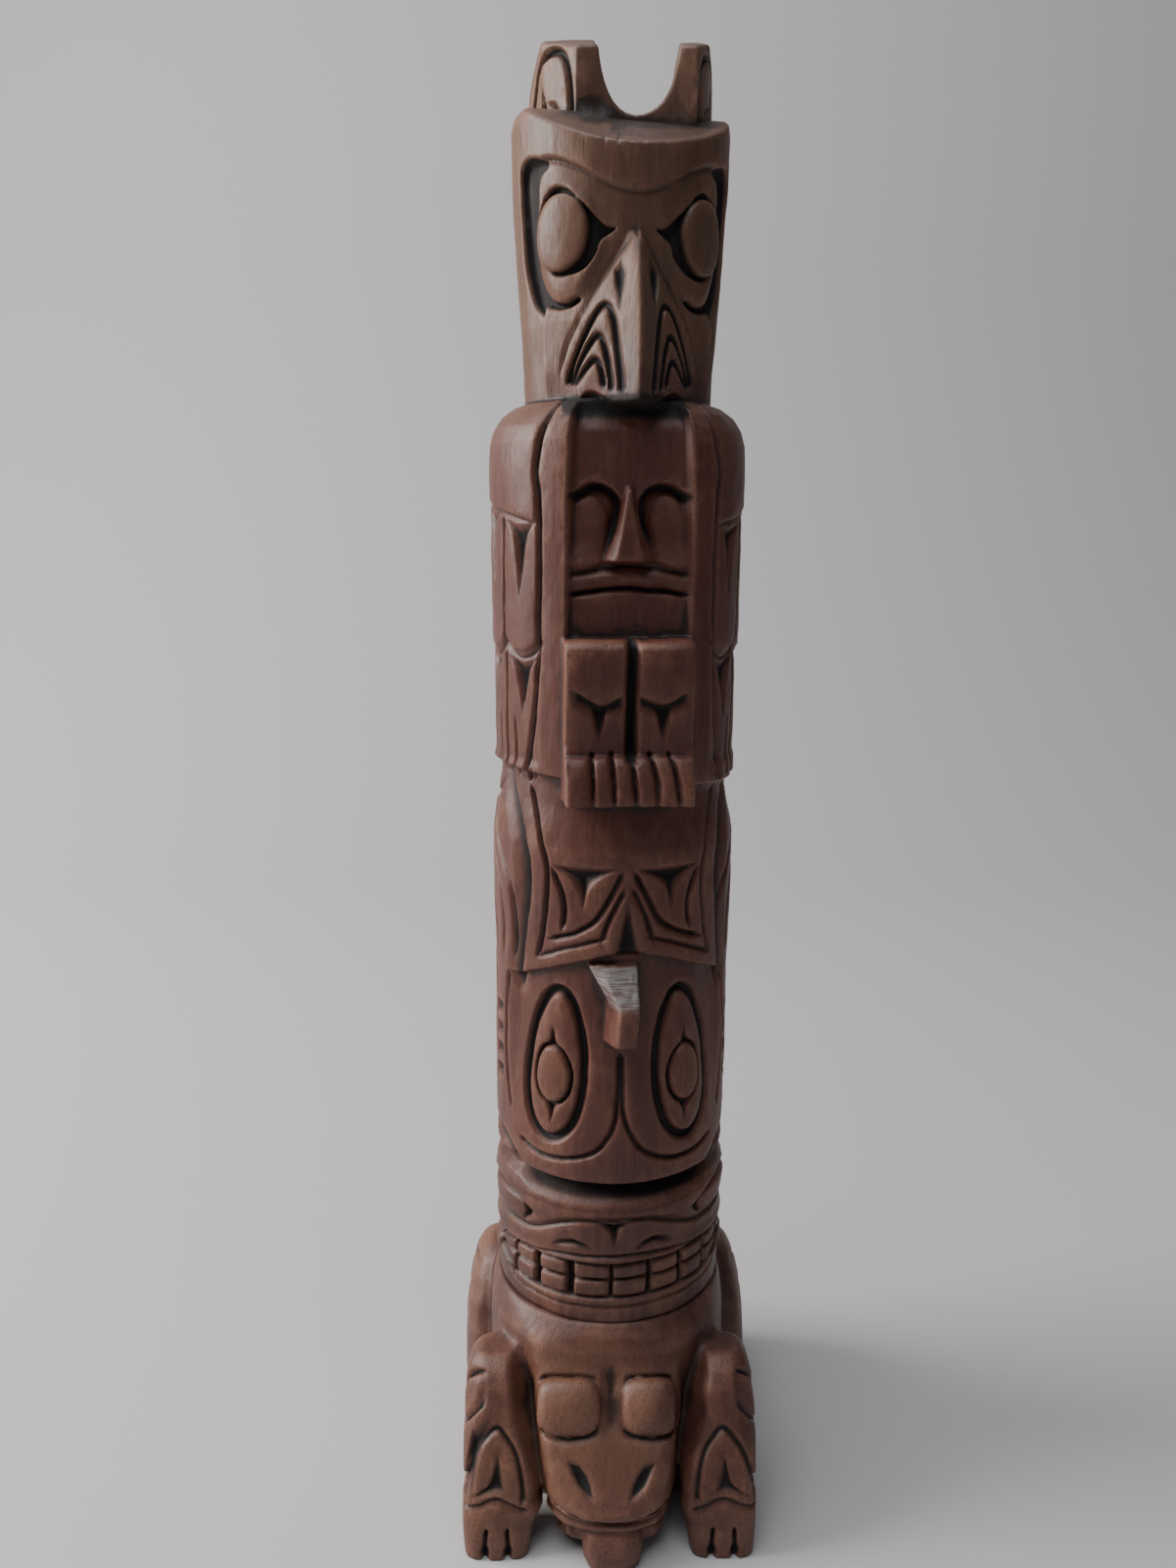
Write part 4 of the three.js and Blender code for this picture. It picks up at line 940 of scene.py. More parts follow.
def ear_cut(x, y, z):
    """How deep the knife went into the ears at the given places, in mm."""
    deep = 0.0
    for side, (start_x, start_y), drawn in EARS:
        out, back = side * (x - start_x), y - start_y
        along = out * math.cos(EAR_LEAN) + back * math.sin(EAR_LEAN)
        inward = back * math.cos(EAR_LEAN) - out * math.sin(EAR_LEAN)
        near = (side * x > 8) & (inward < 7)
        deep = np.maximum(deep, np.where(near, drawn.at(drawn.cut, along, z), 0))
    return deep


def ears_mesh():
    size = 0.5
    low, high = (-35.0, -20.0, 476.0), (36.0, 33.0, 534.0)
    x, y, z = (np.arange(a, b, size) for a, b in zip(low, high))
    front = np.vstack([
        [(-32, 470)], bezier((-32, 500), (-31.8, 519), (-27.5, 528), (-17, EAR_TIP - 0.4)),
        bezier((-9, EAR_TIP), (-8, 519), (-7.6, 500.0), (4, 499.0), count=12),
        bezier((4, 499.0), (14.6, 499.4), (17.6, 509), (19.6, EAR_TIP - 3), count=12)[1:],
        bezier((25, EAR_TIP - 3), (30, 526.5), (32.4, 520), (32.4, 504)), [(32.4, 470), (-32, 470)]])
    plan = np.array([(-7, -14), (-15, -15.5), (-26, -3), (-31.5, 12), (-30, 20), (-24, 27),
                     (24, 27), (30, 20), (32, 12), (29, -3), (24, -15), (18, -14), (-7, -14)], float)
    side = np.array([(-30, 470), (-30, 512.6), (14, EAR_TIP), (21, EAR_TIP - 1.5),
                     (26, EAR_TIP - 8), (30, 500), (30, 470), (-30, 470)], float)
    seen_front = outline_distance(*np.meshgrid(x, z, indexing="ij"), front)[:, None, :]
    seen_above = outline_distance(*np.meshgrid(x, y, indexing="ij"), plan)[:, :, None]
    seen_side = outline_distance(*np.meshgrid(y, z, indexing="ij"), side)[None, :, :]
    field = soft_max(soft_max(-seen_front, -seen_above, 1.2), -seen_side, 1.2)
    px, py, pz = np.meshgrid(x, y, z, indexing="ij")
    field = field + ear_cut(px, py, pz) + 0.25 * lattice(53, px / 9, py / 9, pz / 12)
    return volume_mesh("ears", field, low, size)


ears = ears_mesh()
print("ears:", len(ears.data.polygons), "faces")

# %% [markdown]
# ## Frog
#
# The frog carries the pole on its back. It is rounder than the figures above, so
# it starts as a volume of blunt masses that melt into each other: a trunk, a
# broad head with a shovel snout, a tongue, two arms and two haunches. Each mass
# is a stack of soft-cornered sections, the way a carver rounds a block by eye.


# %% Frog as a volume
def boxy(p, q, low_p, high_p, low_q, high_q, squareness):
    """Rough distance to a soft-cornered rectangle, negative inside."""
    half_p, half_q = (high_p - low_p) / 2, (high_q - low_q) / 2
    rho = (np.abs((p - (low_p + high_p) / 2) / half_p) ** squareness
           + np.abs((q - (low_q + high_q) / 2) / half_q) ** squareness) ** (1 / squareness)
    return (rho - 1) * np.minimum(half_p, half_q)


def stacked(x, y, z, levels, cap=2.0):
    """A mass built of levels: height, left, right, front, back, squareness."""
    table = np.array(levels, float).T
    left, right, front, back, square = (np.interp(z, table[0], row) for row in table[1:])
    body = boxy(x, y, left, right, front, back, square)
    return soft_max(body, np.maximum(z - table[0][-1], table[0][0] - z), cap)


def bowed(x, y, z, stations, cap=2.0):
    """The same along the other way: y, left, right, bottom, top, squareness."""
    table = np.array(stations, float)[::-1].T
    left, right, bottom, top, square = (np.interp(y, table[0], row) for row in table[1:])
    body = boxy(x, z, left, right, bottom, top, square)
    return soft_max(body, np.maximum(table[0][0] - y, y - table[0][-1]), cap)


EYES = ((-15.6, 11.6), (13.8, 10.0))   # middle and half width of each square eye
EYE_SLOPE = math.radians(62)     # how steeply the brow falls under them


def frog_field(x, y, z):
    trunk = stacked(x, y, z, [
        (-9, -45, 45, -41, 56, 4), (0, -46, 46, -41, 56.2, 4), (26, -47, 46.5, -42, 57.2, 4),
        (50, -47.5, 46.5, -45, 56.4, 3.2), (62, -47.2, 46.2, -48.3, 53.6, 2.6),
        (69, -46.7, 45.7, -48.6, 50, 2.4), (75, -45.2, 44.6, -46, 46, 2.2),
        (FROG_BACK + 0.6, -44.4, 44.2, -44.2, 44.6, 2.1)], 1.0)
    nape = stacked(x, y, z, [
        (14, -27.5, 25.5, -55, -30, 4), (46, -28.3, 26, -55.6, -30, 4),
        (57, -28.3, 26, -54.8, -30, 3.6), (64, -28, 26, -51.2, -30, 3.2),
        (72, -26, 25, -45.0, -30, 3)], 3)
    snout = bowed(x, y, z, [
        (-36, -27.5, 25.4, 14, 64, 6), (-54, -26.8, 24.4, 15, 57, 6),
        (-58, -25.8, 23.8, 15.4, 51, 6), (-62, -24.2, 22.8, 16, 44.5, 5),
        (-66, -22.2, 21.2, 16.6, 38, 5), (-69.4, -19.2, 18.6, 17.4, 32.4, 4),
        (-72.4, -15.2, 14.8, 18.4, 28, 3.6), (-74.6, -10.4, 10.2, 19.4, 25, 3),
        (-76.0, -5, 5, 20.6, 23.4, 2.4)], 0.8)
    jaw = bowed(x, y, z, [
        (-36, -22.5, 22, 2.5, 15, 4), (-58, -21.4, 20.6, 3.4, 15, 4),
        (-64, -19.4, 18.8, 4.6, 14.6, 3.4), (-68.4, -15.4, 15, 6.4, 14, 3),
        (-71, -9, 9, 8.4, 13.6, 2.6)], 1.6)
    # Knife dents are left on the jaw's left side.
    jaw = jaw + 0.45 * lattice(95, x / 2.3, y / 2.3, z / 2.6) * smoothstep(-x, 8, 13)
    lip = bowed(x, y, z, [
        (-46, -23, 21.8, 13.2, 19, 3), (-62, -22.4, 21.4, 13.6, 18.9, 3),
        (-67, -19.8, 19, 14, 18.8, 3), (-70.6, -16, 15.4, 14.4, 18.6, 2.8),
        (-73.2, -11.4, 11, 14.8, 18.3, 2.6), (-75, -5.4, 5.4, 15.4, 17.8, 2.4)], 1.0)
    tongue = stacked(x, y, z, [
        (-9, -8, 8.5, -74, -56, 3), (0, -9.4, 10, -76.6, -56, 3), (4, -10.5, 11.2, -77.8, -56, 3),
        (9, -10.6, 11.3, -77.6, -56, 3), (13.5, -10.2, 10.8, -76.0, -56, 3),
        (16.6, -8.6, 9.2, -73, -56, 3)], 2.2)
    head = soft_min(nape, snout, 2.4)
    head = soft_min(head, lip, 0.8)
    head = soft_min(head, jaw, 1.0)
    head = soft_min(head, tongue, 0.9)
    body = soft_min(trunk, head, 5.0)
    valley = np.clip(1 - np.abs(x + 0.1) / 4.4, 0, 1) * smoothstep(z, 44, 49)
    body = body + 2.4 * valley * (1 - smoothstep(z, 60, 67)) * smoothstep(-y, 36, 44)
    for middle, half in EYES:
        dx, dy, dz = x - middle, y + 55.5, z - 53
        up = -dy * math.sin(EYE_SLOPE) + dz * math.cos(EYE_SLOPE)
        along = dy * math.cos(EYE_SLOPE) + dz * math.sin(EYE_SLOPE)
        pad = boxy(dx, along, -half, half, -10.6, 8.6, 4.2)
        crown = up - 5.6 + 2.4 * ((dx / half) ** 2 + ((along + 1.0) / 9.6) ** 2)
        eye = soft_max(soft_max(pad, crown, 2.8), -up - 9, 1)
        # A knife line runs round each eye and sets it off from the brow.
        ring = np.clip(1 - np.abs(pad - 0.4) / 1.3, 0, 1) * (1 - smoothstep(np.abs(up), 2.5, 4.5))
        body = body + 1.3 * ring * (1 - smoothstep(np.abs(dx), half - 3, half))
        body = soft_min(body, eye, 0.3)
    for side in (-1, 1):
        # Seen from its own side, an arm is the same left and right.
        own = np.where(side < 0, -x, x + 0.9)
        arm = stacked(own, y, z, [
            (-9, 30.5, 53.0, -71, -50, 4.5), (0, 30.0, 53.6, -71, -50, 4.5),
            (10, 28.2, 54.2, -70.2, -46, 4.5), (20, 27.0, 54.5, -68.3, -42, 4.5),
            (34, 27.0, 54.8, -62.8, -36, 4.4), (48, 27.4, 54.8, -56, -30, 4.2),
            (56, 28.6, 54.2, -51.6, -28, 4), (60.5, 31.4, 52.8, -48, -28, 3.6),
            (63.8, 36, 50, -43.6, -29, 3)], 1.6)
        # The front face is narrow at the shoulder: both its sides are cut away slanting.
        behind = y - np.interp(z, (0, 10, 20, 34, 48, 56, 60.5, 64),
                               (-71, -70.2, -68.3, -62.8, -56, -51.6, -48, -43))
        inner = np.interp(z, (0, 20, 34, 48, 60), (30, 27.4, 32.0, 36.8, 38.4))
        outer = np.interp(z, (0, 24, 44, 60), (55, 53.8, 49.6, 47.4))
        arm = soft_max(arm, (inner - own - 0.55 * behind) * 0.88, 1.6)
        arm = soft_max(arm, (own - outer - 0.9 * behind) * 0.74, 1.2)
        haunch = stacked(own, y, z, [
            (-9, 36, 56.8, -8, 50, 3), (0, 36, 57.2, -8, 50, 3), (22, 36, 59.5, -9, 55.6, 2.9),
            (44, 36, 59.3, -5, 54, 2.8), (54, 36, 58.2, -1, 49.4, 2.7), (62, 36, 56.2, 4, 43.6, 2.6),
            (68, 36, 53.8, 9, 37.4, 2.5), (72, 36, 50.4, 14, 31.4, 2.4)], 2.4)
        body = soft_min(body, arm, 3.4)
        body = soft_min(body, haunch, 2.6)
    return body


# %% [markdown]
# The frog's own lines are drawn on two sheets, one seen from the front and one
# from the side, and pressed into whatever faces that way: the rims of the square
# eyes, the slit nostrils, the lips, the toes, and a hand panel on each arm.


# %% Lines on the frog
def frog_front():
    s = Sheet(-60, 60, -2, 84, 0.25, seed=71)
    for side in (-1, 1):
        def both(path, left, right, depth, **more):
            widths = (left, right) if side > 0 else (right, left)
            s.groove([(side * a - 0.4, z) for a, z in path], *widths, depth, **more)
        slit = [(16.2, 37.8), (14.4, 33.6), (11.8, 30.0), (8.8, 27.6), (5.8, 26.6), (6.4, 30.2),
                (8.2, 33.6), (11.6, 36.6)]
        s.chip([(side * a, z) for a, z in slit], (side * 11.2, 31.8), 3.6, 0.7)
        # The underside of each eye is cut clear of the snout.
        both([(3.4, 48.4), (6.4, 44.8), (15, 43.0), (23.0, 44.2), (25.4, 47)], 0.5, 1.6, 2.2)
        centre = 41.6
        both([(centre - 9.4, 20.6), (centre - 8.8, 28), (centre - 6.6, 36), (centre - 2, 42.4),
              (centre, 43.4), (centre + 2.4, 42.0), (centre + 7.2, 36), (centre + 10, 28),
              (centre + 11.4, 20.0)], 2.2, 0.6, 2.0, ends=0.6)
        s.chip([(side * (centre + a), z) for a, z in (
            (0, 38), (1.6, 31), (3.6, 26.4), (10.6, 22.0), (0, 24.2), (-3.4, 24.4), (-2.6, 28),
            (-1.4, 32))], (side * (centre + 1), 27.4), 2.8)
        both([(centre - 11.8, 18.4), (centre - 6, 20.4), (centre, 22.6), (centre + 6, 20.6),
              (centre + 12, 18.6)], 0.6, 2.4, 1.5, ends=0.8)
        for toe in (-4.4, 3.8):
            both([(centre + toe * 0.9, 12.6), (centre + toe, 6), (centre + toe, -2)], 1.0, 1.0, 2.6,
                 ends=1.6)
            both([(centre + toe, 8.4), (centre + toe, 4), (centre + toe, -3)], 2.0, 2.0, 3.2, ends=3)
    # On the left arm the cut above the hand is broad, and its outer side is deep.
    s.chip([(-50.6, 20), (-49.6, 30), (-47, 38), (-42.6, 44.6), (-44.6, 47), (-51, 43),
            (-53, 33), (-52.6, 22)], (-49.6, 38), 2.6)
    s.groove([(-24, 22), (-14, 20.6), (0, 19.9), (14, 20.6), (23, 21.8)], 0.6, 0.9, 2.2)
    return s


def frog_side():
    s = Sheet(-80, 62, -2, 86, 0.25, seed=81)
    s.groove(egg((-48.6, 51), (4.4, 8.8), 0.1, 0.1, 16), 1.3, 1.3, 2.4, closed=True)
    s.groove([(-60, 8), (-56, 22), (-50, 34), (-46, 38)], 0.9, 0.9, 1.3)
    s.groove([(-8, 60), (-12, 48), (-13, 34), (-9, 20), (-1, 10), (12, 6)], 1.6, 0.9, 2.0)
    s.groove([(14, 66), (26, 62), (36, 52), (42, 38), (42, 24), (36, 12)], 1.4, 1.0, 1.6)
    s.groove([(6, 50), (16, 54), (26, 48), (30, 36), (26, 26)], 1.2, 1.2, 1.3)
    return s


def on_outside(x, z):
    """Where the side drawing counts: further in at the shoulders, which are slanted."""
    return smoothstep(np.abs(x) - np.interp(z, (36, 44), (50, 45.5)), 0, 2.4)


def facing_front(y):
    """Where the front drawing counts."""
    return smoothstep(-y, 30, 46)


def frog_mesh():
    size = 0.7
    low = np.array((-63.0, -83.0, -2 * size))
    high = np.array((63.0, 61.0, 81.0))
    axes = [np.arange(a, b, size, dtype=np.float32) for a, b in zip(low, high)]
    x, y, z = np.meshgrid(*axes, indexing="ij")
    # The knife leaves the masses slightly lumpy.
    bend = (0.3 * lattice(91, x / 16, y / 16, z / 16)
            + 0.16 * lattice(92, x / 5, y / 5, z / 6.5))
    field = frog_field(x, y, z) + bend
    front, side = frog_front(), frog_side()
    pressed = front.at(front.cut, x, z) * facing_front(y)
    pressed = np.maximum(pressed, side.at(side.cut, y, z) * on_outside(x, z))
    field = np.maximum(field + pressed, -z)
    return volume_mesh("frog", field, low, size), front, side


frog, front_lines, side_lines = frog_mesh()
print("frog:", len(frog.data.polygons), "faces")

# %% [markdown]
# ## One piece of wood
#
# The real pole has no joints, so the three masses are united into one closed
# skin. A union keeps the crisp line where the bear's chin rests on the frog's
# back. The flat stretches then give up points they don't need, while the edges
# of the cuts keep theirs.


# %% Unite and lighten
def apply_modifiers(thing):
    evaluated = thing.evaluated_get(bpy.context.evaluated_depsgraph_get())
    mesh = bpy.data.meshes.new_from_object(evaluated)
    thing.modifiers.clear()
    thing.data = mesh


def unite(thing, others):
    for other in others:
        union = thing.modifiers.new("union", "BOOLEAN")
        union.operation, union.solver, union.object = "UNION", "MANIFOLD", other
    apply_modifiers(thing)
    for other in others:
        bpy.data.objects.remove(other)


unite(column, [frog, ears])
pole = column
pole.name = "carved_pole"
print("united:", len(pole.data.polygons), "faces")

FACES = 194000
SHARP = math.radians(58)         # bends above this keep a crisp edge
triangles = sum(len(p.vertices) - 2 for p in pole.data.polygons)
if triangles > FACES:
    thin = pole.modifiers.new("lighten", "DECIMATE")
    thin.ratio = FACES / triangles
    apply_modifiers(pole)
pole.data.shade_smooth()
pole.data.set_sharp_from_angle(angle=SHARP)
print("lightened:", len(pole.data.polygons), "faces")

# %% [markdown]
# ## Where the stain and the painted shade gather
#
# Stain is wiped on and wiped off again: it stays in the cuts and wears from the
# edges. To know which is which, the skin is smoothed like a bar of soap. A point
# that lies below its soap copy is in a hollow, and one above it is on an edge.
# The difference is stored on the mesh, so the material can read it: the hollows
# are darkened for stain and for painted shade, the broad ones for painted shade alone.


# %% Measure hollows and edges
def sheltered(mesh, rounds):
    """How far each point lies below its smoothed surroundings, in mm."""
    count = len(mesh.vertices)
    points, normals = np.empty(count * 3), np.empty(count * 3)
    mesh.vertices.foreach_get("co", points)
    mesh.vertices.foreach_get("normal", normals)
    points, normals = points.reshape(-1, 3) / MM, normals.reshape(-1, 3)
    ends = np.empty(len(mesh.edges) * 2, int)
    mesh.edges.foreach_get("vertices", ends)
    a, b = ends.reshape(-1, 2).T
    pull = 1 / (np.linalg.norm(points[a] - points[b], axis=1) + 0.3)
    weight = np.bincount(a, pull, count) + np.bincount(b, pull, count)
    soap = points.copy()
    for _ in range(rounds):
        drawn = [np.bincount(a, pull * soap[b, k], count) + np.bincount(b, pull * soap[a, k], count)
                 for k in range(3)]
        soap += 0.6 * (np.stack(drawn, 1) / weight[:, None] - soap)
    return np.einsum("ij,ij->i", soap - points, normals)


def store(mesh, name, values):
    mesh.attributes.new(name, "FLOAT", "POINT").data.foreach_set(
        "value", values.astype(np.float32))
    print(name, "from", round(float(values.min()), 2), "to", round(float(values.max()), 2), "mm")


def places(mesh):
    """The x, y and z of every point, in mm."""
    points = np.empty(len(mesh.vertices) * 3)
    mesh.vertices.foreach_get("co", points)
    return points.reshape(-1, 3).T / MM


def knifed(mesh):
    """How deep the knife went at each point, read back from the sheets, in mm, with a painted shadow
    added under the beak.
    """
    x, y, z = places(mesh)
    around = np.degrees(np.arctan2(x, -y)) * ROUND
    on_post = post.at(post.stain, around, z)
    on_ear = (z > 486) & (np.hypot(x, y) < post.at(radius, around, z) - 0.8) | (z > CROWN)
    # Painted shadow: a dark band on the niche wall just under the beak.
    neck = 2.4 * smoothstep(z, 398, 406) * (1 - smoothstep(z, 409, 411)) * (np.abs(x - 1) < 21)
    on_post = np.maximum(on_post * (1 + 0.35 * (z > SHOULDER)), neck * (y < -20))
    on_post = np.where(on_ear, ear_cut(x, y, z), on_post)
    on_front = front_lines.at(front_lines.cut, x, z) * facing_front(y)
    on_side = side_lines.at(side_lines.cut, y, z) * on_outside(x, z)
    frog_side = np.hypot(x, y) > 45.4
    low = (z < 70) | (frog_side & (z < FROG_BACK + 2))
    return np.where(low, np.maximum(on_front, on_side), on_post)


def sawn(mesh):
    """1 on the fin's sawn top, whose grey is partly stain that never took well and partly a painted
    reflection.
    """
    x, y, z = places(mesh)
    ahead = np.hypot(x, y) > 43.6
    band = smoothstep(z, 204.6, 207.5) * (1 - smoothstep(z, 218, 219.4))
    return ahead * (np.abs(x) < 9) * (y < 0) * band

store(pole.data, "knifed", knifed(pole.data))
store(pole.data, "sawn", sawn(pole.data))
FINE_ROUNDS, BROAD_ROUNDS = 6, 70   # how often the soap is smoothed
store(pole.data, "hollow_fine", sheltered(pole.data, FINE_ROUNDS))
store(pole.data, "hollow_broad", sheltered(pole.data, BROAD_ROUNDS))


# %% [markdown]
# ## Stained wood, with painted shade
#
# The wood is pale, and its colour comes from a reddish brown stain over fine
# straight grain that runs up the pole. Shade is painted into that colour too: the
# cuts, creases and hollows are darkened for shade as well as for stain, a shadow is
# painted under the beak, and the fin's grey top is partly a painted reflection. The
# finish is a thin satin wax: broad soft shine on the smooth faces, dull in the cuts.
# The class below lets the material be written as sums: any arithmetic on a wire adds
# the Math node for it.

# %% Writing a material as arithmetic
class Wire:
    """One output of a node. Arithmetic on it adds Math nodes."""

    def __init__(self, tree, socket=None):
        self.tree, self.socket = tree, socket

    def node(self, kind, settings, inputs, output=0):
        """Adds any node: its settings come first, then its inputs are filled or linked."""
        made = self.tree.nodes.new(kind)
        for name, value in settings.items():
            if name == "stops":
                steps = made.color_ramp.elements
                for place, _ in value[1:-1]:
                    steps.new(place)
                for step, (place, shade) in zip(steps, value):
                    step.position, step.color = place, (*shade, 1)
            else:
                setattr(made, name, value)
        for name, value in inputs.items():
            if isinstance(value, Wire):
                self.tree.links.new(value.socket, made.inputs[name])
            else:
                made.inputs[name].default_value = value
        return Wire(self.tree, made.outputs[output])

    def maths(self, operation, first, second=0.0):
        return self.node("ShaderNodeMath", {"operation": operation}, {0: first, 1: second})

    def __add__(self, other):
        return self.maths("ADD", self, other)

    def __sub__(self, other):
        return self.maths("SUBTRACT", self, other)

    def __rsub__(self, other):
        return self.maths("SUBTRACT", other, self)

    def __mul__(self, other):
        return self.maths("MULTIPLY", self, other)

    __radd__, __rmul__ = __add__, __mul__

    def ramp(self, low, high):
        """0 at low, 1 at high, and smooth between them."""
        return self.node("ShaderNodeMapRange", {"interpolation_type": "SMOOTHSTEP"},
                         {"Value": self, "From Min": low, "From Max": high})

    def blend(self, first, second):
        """This mask mixes two colours."""
        return self.node("ShaderNodeMix", {"data_type": "RGBA"},
                         {0: self, 6: first, 7: second}, 2)


def new_material(name):
    material = bpy.data.materials.new(name)
    material.use_nodes = True
    return material, material.node_tree.nodes["Principled BSDF"], Wire(material.node_tree)


def colour(red, green, blue):
    """A colour as painters' charts give it, 0 to 255, turned into light."""
    return tuple((c / 255 / 12.92) if c < 10.3 else ((c / 255 + 0.055) / 1.055) ** 2.4
                 for c in (red, green, blue)) + (1,)


# %% The stain, the painted shade, the grain and the wax
def stained_wood():
    material, shader, wire = new_material("stained_wood")
    spot = wire.node("ShaderNodeTexCoord", {}, {}, "Object")

    def noise(scale, stretch, detail=3.0, roughness=0.55, offset=(0, 0, 0)):
        placed = wire.node("ShaderNodeMapping", {}, {
            "Vector": spot, "Location": offset, "Scale": tuple(scale * s for s in stretch)})
        return wire.node("ShaderNodeTexNoise", {}, {
            "Vector": placed, "Scale": 1.0, "Detail": detail, "Roughness": roughness}, "Fac")

    def measured(name):
        return wire.node("ShaderNodeAttribute", {"attribute_name": name}, {}, "Fac")

    fine, broad, knife = (measured(name) for name in ("hollow_fine", "hollow_broad", "knifed"))
    grain = noise(1.0, (1100, 1100, 50), 4, 0.6)
    streak = noise(1.0, (230, 230, 15), 3, 0.55, (3, 1, 2))
    patch = noise(1.0, (40, 40, 22), 4, 0.62, (7, 4, 1))
    fleck = noise(1.0, (1300, 1300, 900), 2, 0.6, (2, 8, 5))
    cloud = noise(1.0, (16, 16, 10), 2, 0.5, (1, 6, 3))
    uneven = (patch * 0.6 + cloud * 0.4).ramp(0.36, 0.64)
    # The cuts and creases darken for stain and for painted shade; the broad hollows only for painted
    # shade.
    cuts = knife.ramp(0.7, 2.3)
    crease_stain_and_shade = fine.ramp(0.03, 0.2)
    hollow_shade = broad.ramp(0.2, 1.8)
    edges = (0 - fine).ramp(0.05, 0.3) * fleck.ramp(0.25, 0.6)
    wood = uneven.blend(colour(60, 33, 28), colour(92, 57, 45))
    wood = (cloud.ramp(0.5, 0.66) * 0.45).blend(wood, colour(98, 68, 50))
    # The stain is thin and yellowish on the head, redder between the neck and the frog.
    up = wire.node("ShaderNodeSeparateXYZ", {}, {"Vector": spot}, "Z")
    wood = (up.ramp(0.412, 0.432) * 0.4).blend(wood, colour(108, 82, 60))
    wood = (up.ramp(0.10, 0.15) * up.ramp(0.41, 0.39) * 0.45).blend(wood, colour(90, 42, 31))
    wood = (streak.ramp(0.42, 0.74) * 0.35).blend(wood, colour(108, 70, 55))
    wood = (grain.ramp(0.5, 0.72) * 0.35).blend(wood, colour(36, 19, 16))
    wood = (edges * (0.1 + uneven * 0.4)).blend(wood, colour(136, 96, 76))
    # The fin's top was sawn, not cut, and has the saw's lines across it. Its grey is partly wood the
    # stain never took on and partly a painted reflection of the sky on this up-facing face.
    saw = noise(1.0, (110, 110, 2300), 2, 0.6, (5, 5, 1))
    bare_and_reflection = measured("sawn") * (0.35 + saw.ramp(0.36, 0.56))
    wood = (bare_and_reflection * 0.75).blend(wood, colour(126, 120, 118))
    # Painted shade mixed with stain: cuts, creases, broad hollows and the space under the beak go
    # near-black.
    stain_and_painted_shade = (cuts * 0.9 + crease_stain_and_shade * 0.4 + hollow_shade * 0.35) * (0.8 + patch * 0.3)
    wood = stain_and_painted_shade.ramp(0.0, 1.0).blend(wood, colour(19, 10, 9))
    wire.tree.links.new(wood.socket, shader.inputs["Base Color"])
    rough = 0.42 + uneven * 0.06 + grain * 0.10 + cuts * 0.25 + bare_and_reflection * 0.2
    wire.tree.links.new(rough.socket, shader.inputs["Roughness"])
    # A rasp left slanting lines on the frog, and the knife small facets elsewhere.
    low = up.ramp(0.078, 0.066)
    turned = wire.node("ShaderNodeMapping", {}, {
        "Vector": spot, "Rotation": (0.3, math.radians(38), 0.2)})
    rasp = wire.node("ShaderNodeTexWave", {"wave_type": "BANDS", "bands_direction": "Z"}, {
        "Vector": turned, "Scale": 330.0, "Distortion": 4.0, "Detail": 2.0, "Detail Scale": 1.5}, "Fac")
    facet = noise(1.0, (420, 420, 190), 1, 0.5, (4, 4, 9))
    height = (grain * 0.4 + streak * 0.5 + fleck * 0.25 + facet * 0.9 + saw * measured("sawn")
              + rasp * low * patch.ramp(0.42, 0.62) * 0.16)
    bump = wire.node("ShaderNodeBump", {}, {
        "Strength": 0.4, "Distance": 0.0004, "Height": height}, "Normal")
    wire.tree.links.new(bump.socket, shader.inputs["Normal"])
    shader.inputs["Specular IOR Level"].default_value = 0.42
    return material


pole.data.materials.clear()
pole.data.materials.append(stained_wood())
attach(pole, "root")
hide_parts("totem_pole")


# %% [markdown]
# ## Floor, light and camera
#
# A pale sheet curves up behind the pole, so there is no corner to be seen. One
# large soft lamp stands to the left, as a window would, and rakes across the
# relief. A faint one fills the right side. The camera is close and looks a little
# down, so from there the foot of the pole looks narrower than its head.

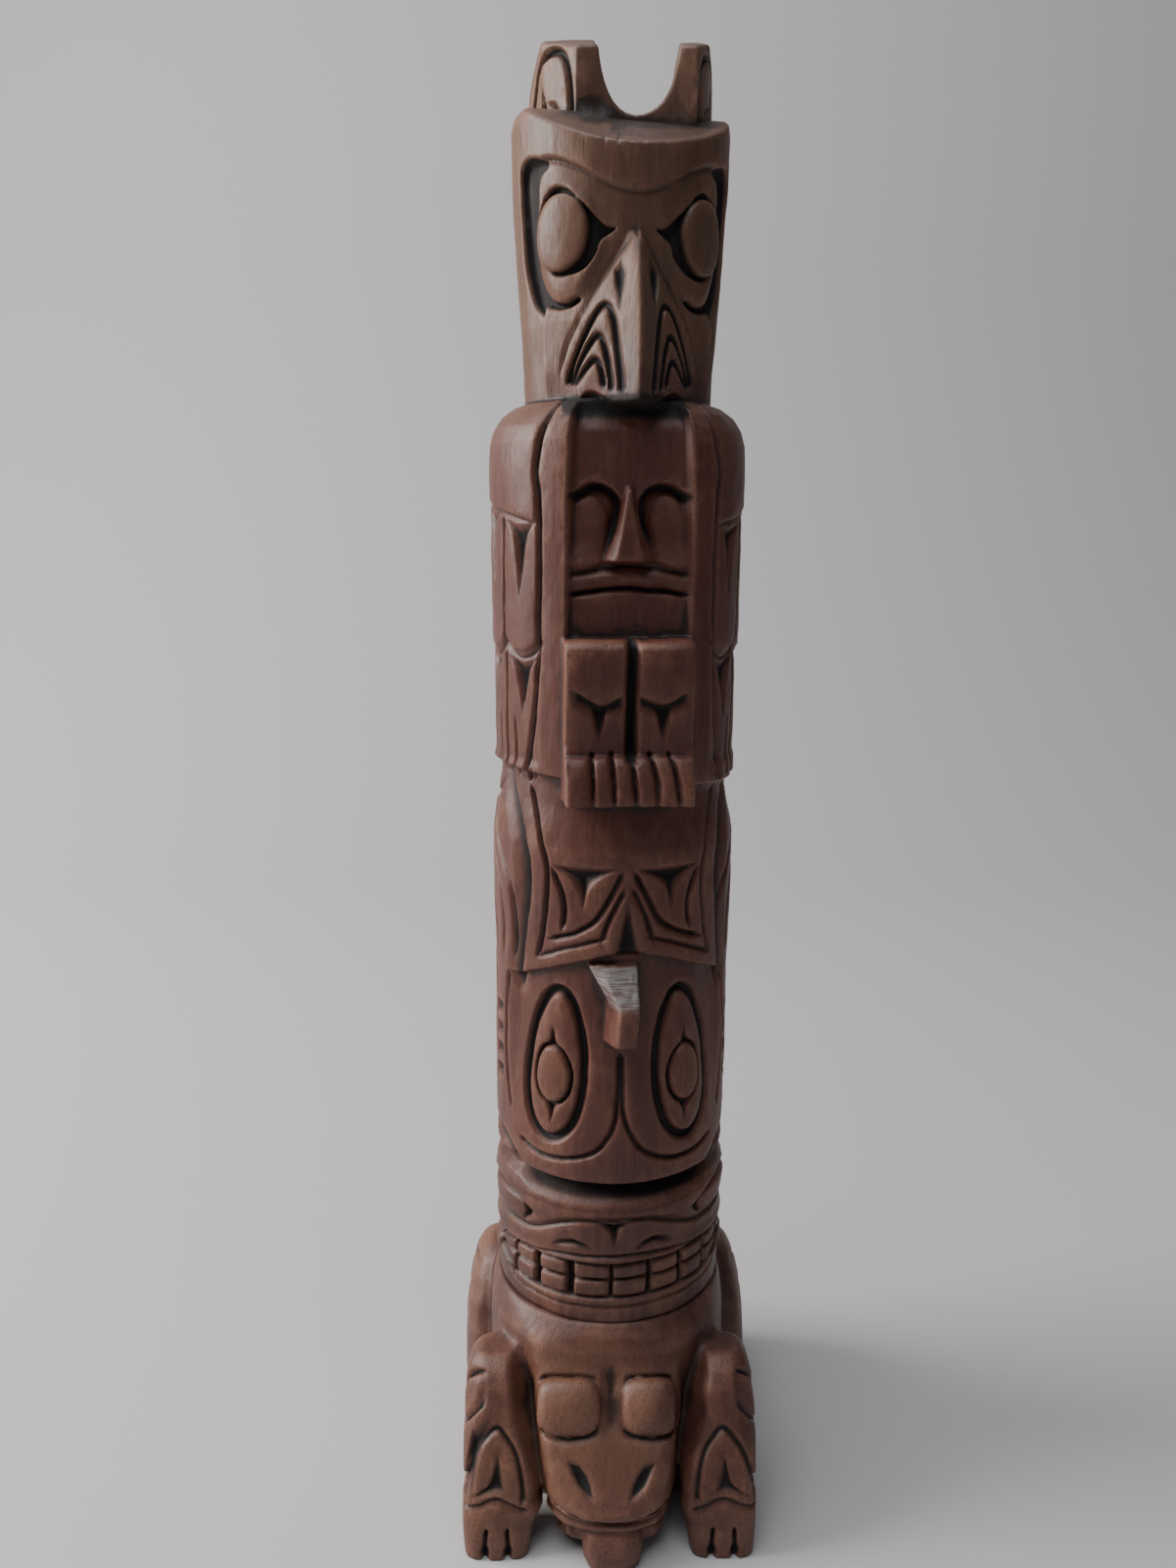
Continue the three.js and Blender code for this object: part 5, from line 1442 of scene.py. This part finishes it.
# %% Floor and backdrop
def pale_sweep():
    bend_start, bend, wide = 0.75, 0.8, 3.2
    line = [(-2.6, 0.0), (bend_start, 0.0)]
    line += [(bend_start + bend * math.sin(t), bend * (1 - math.cos(t)))
             for t in np.linspace(0.1, math.pi / 2, 16)]
    line.append((bend_start + bend, 3.4))
    points = [(x, y, z) for y, z in line for x in (-wide, wide)]
    faces = [(2 * i, 2 * i + 1, 2 * i + 3, 2 * i + 2) for i in range(len(line) - 1)]
    mesh = bpy.data.meshes.new("pale_floor")
    mesh.from_pydata(points, [], faces)
    mesh.shade_smooth()
    floor = bpy.data.objects.new("pale_floor", mesh)
    bpy.context.scene.collection.objects.link(floor)
    material, shader, wire = new_material("pale_paper")
    shader.inputs["Base Color"].default_value = colour(188, 184, 183)
    shader.inputs["Roughness"].default_value = 0.8
    mesh.materials.append(material)
    return floor


pale_sweep()


# %% Lamps and camera
def lamp(name, place, target, size, power, warmth=(1, 1, 1)):
    light = bpy.data.lights.new(name, "AREA")
    light.shape, light.size, light.energy, light.color = "SQUARE", size, power, warmth
    holder = bpy.data.objects.new(name, light)
    bpy.context.scene.collection.objects.link(holder)
    holder.location = place
    aim = Vector(target) - Vector(place)
    holder.rotation_euler = aim.to_track_quat("-Z", "Y").to_euler()
    return holder


lamp("window", (-1.7, 0.02, 1.0), (0, 0, 0.3), 0.9, 54, (1.0, 0.96, 0.93))
lamp("overhead", (-0.5, -0.3, 2.2), (0, 0, 0.3), 1.8, 42, (0.88, 0.94, 1.0))
lamp("fill", (1.2, -1.6, 0.8), (0, 0, 0.25), 1.4, 1.6, (0.95, 0.97, 1.0))
world = bpy.data.worlds.new("room")
bpy.context.scene.world = world
world.use_nodes = True
world.node_tree.nodes["Background"].inputs["Color"].default_value = (0.80, 0.84, 0.90, 1)
world.node_tree.nodes["Background"].inputs["Strength"].default_value = 0.13


def close_camera():
    view = bpy.data.cameras.new("camera")
    view.sensor_fit, view.sensor_height, view.lens = "VERTICAL", 36, 27
    camera = bpy.data.objects.new("camera", view)
    bpy.context.scene.collection.objects.link(camera)
    heading, down, roll = (math.radians(a) for a in (0.75, 12.0, 0.4))
    ahead = Vector((math.sin(heading) * math.cos(down), math.cos(heading) * math.cos(down),
                    -math.sin(down)))
    right = Vector((math.cos(heading), -math.sin(heading), 0))
    up = right.cross(ahead)
    right, up = (right * math.cos(roll) + up * math.sin(roll),
                 up * math.cos(roll) - right * math.sin(roll))
    camera.matrix_world = Matrix((
        (right.x, up.x, -ahead.x, -0.0151), (right.y, up.y, -ahead.y, -0.4314),
        (right.z, up.z, -ahead.z, 0.366), (0, 0, 0, 1)))
    bpy.context.scene.camera = camera


close_camera()
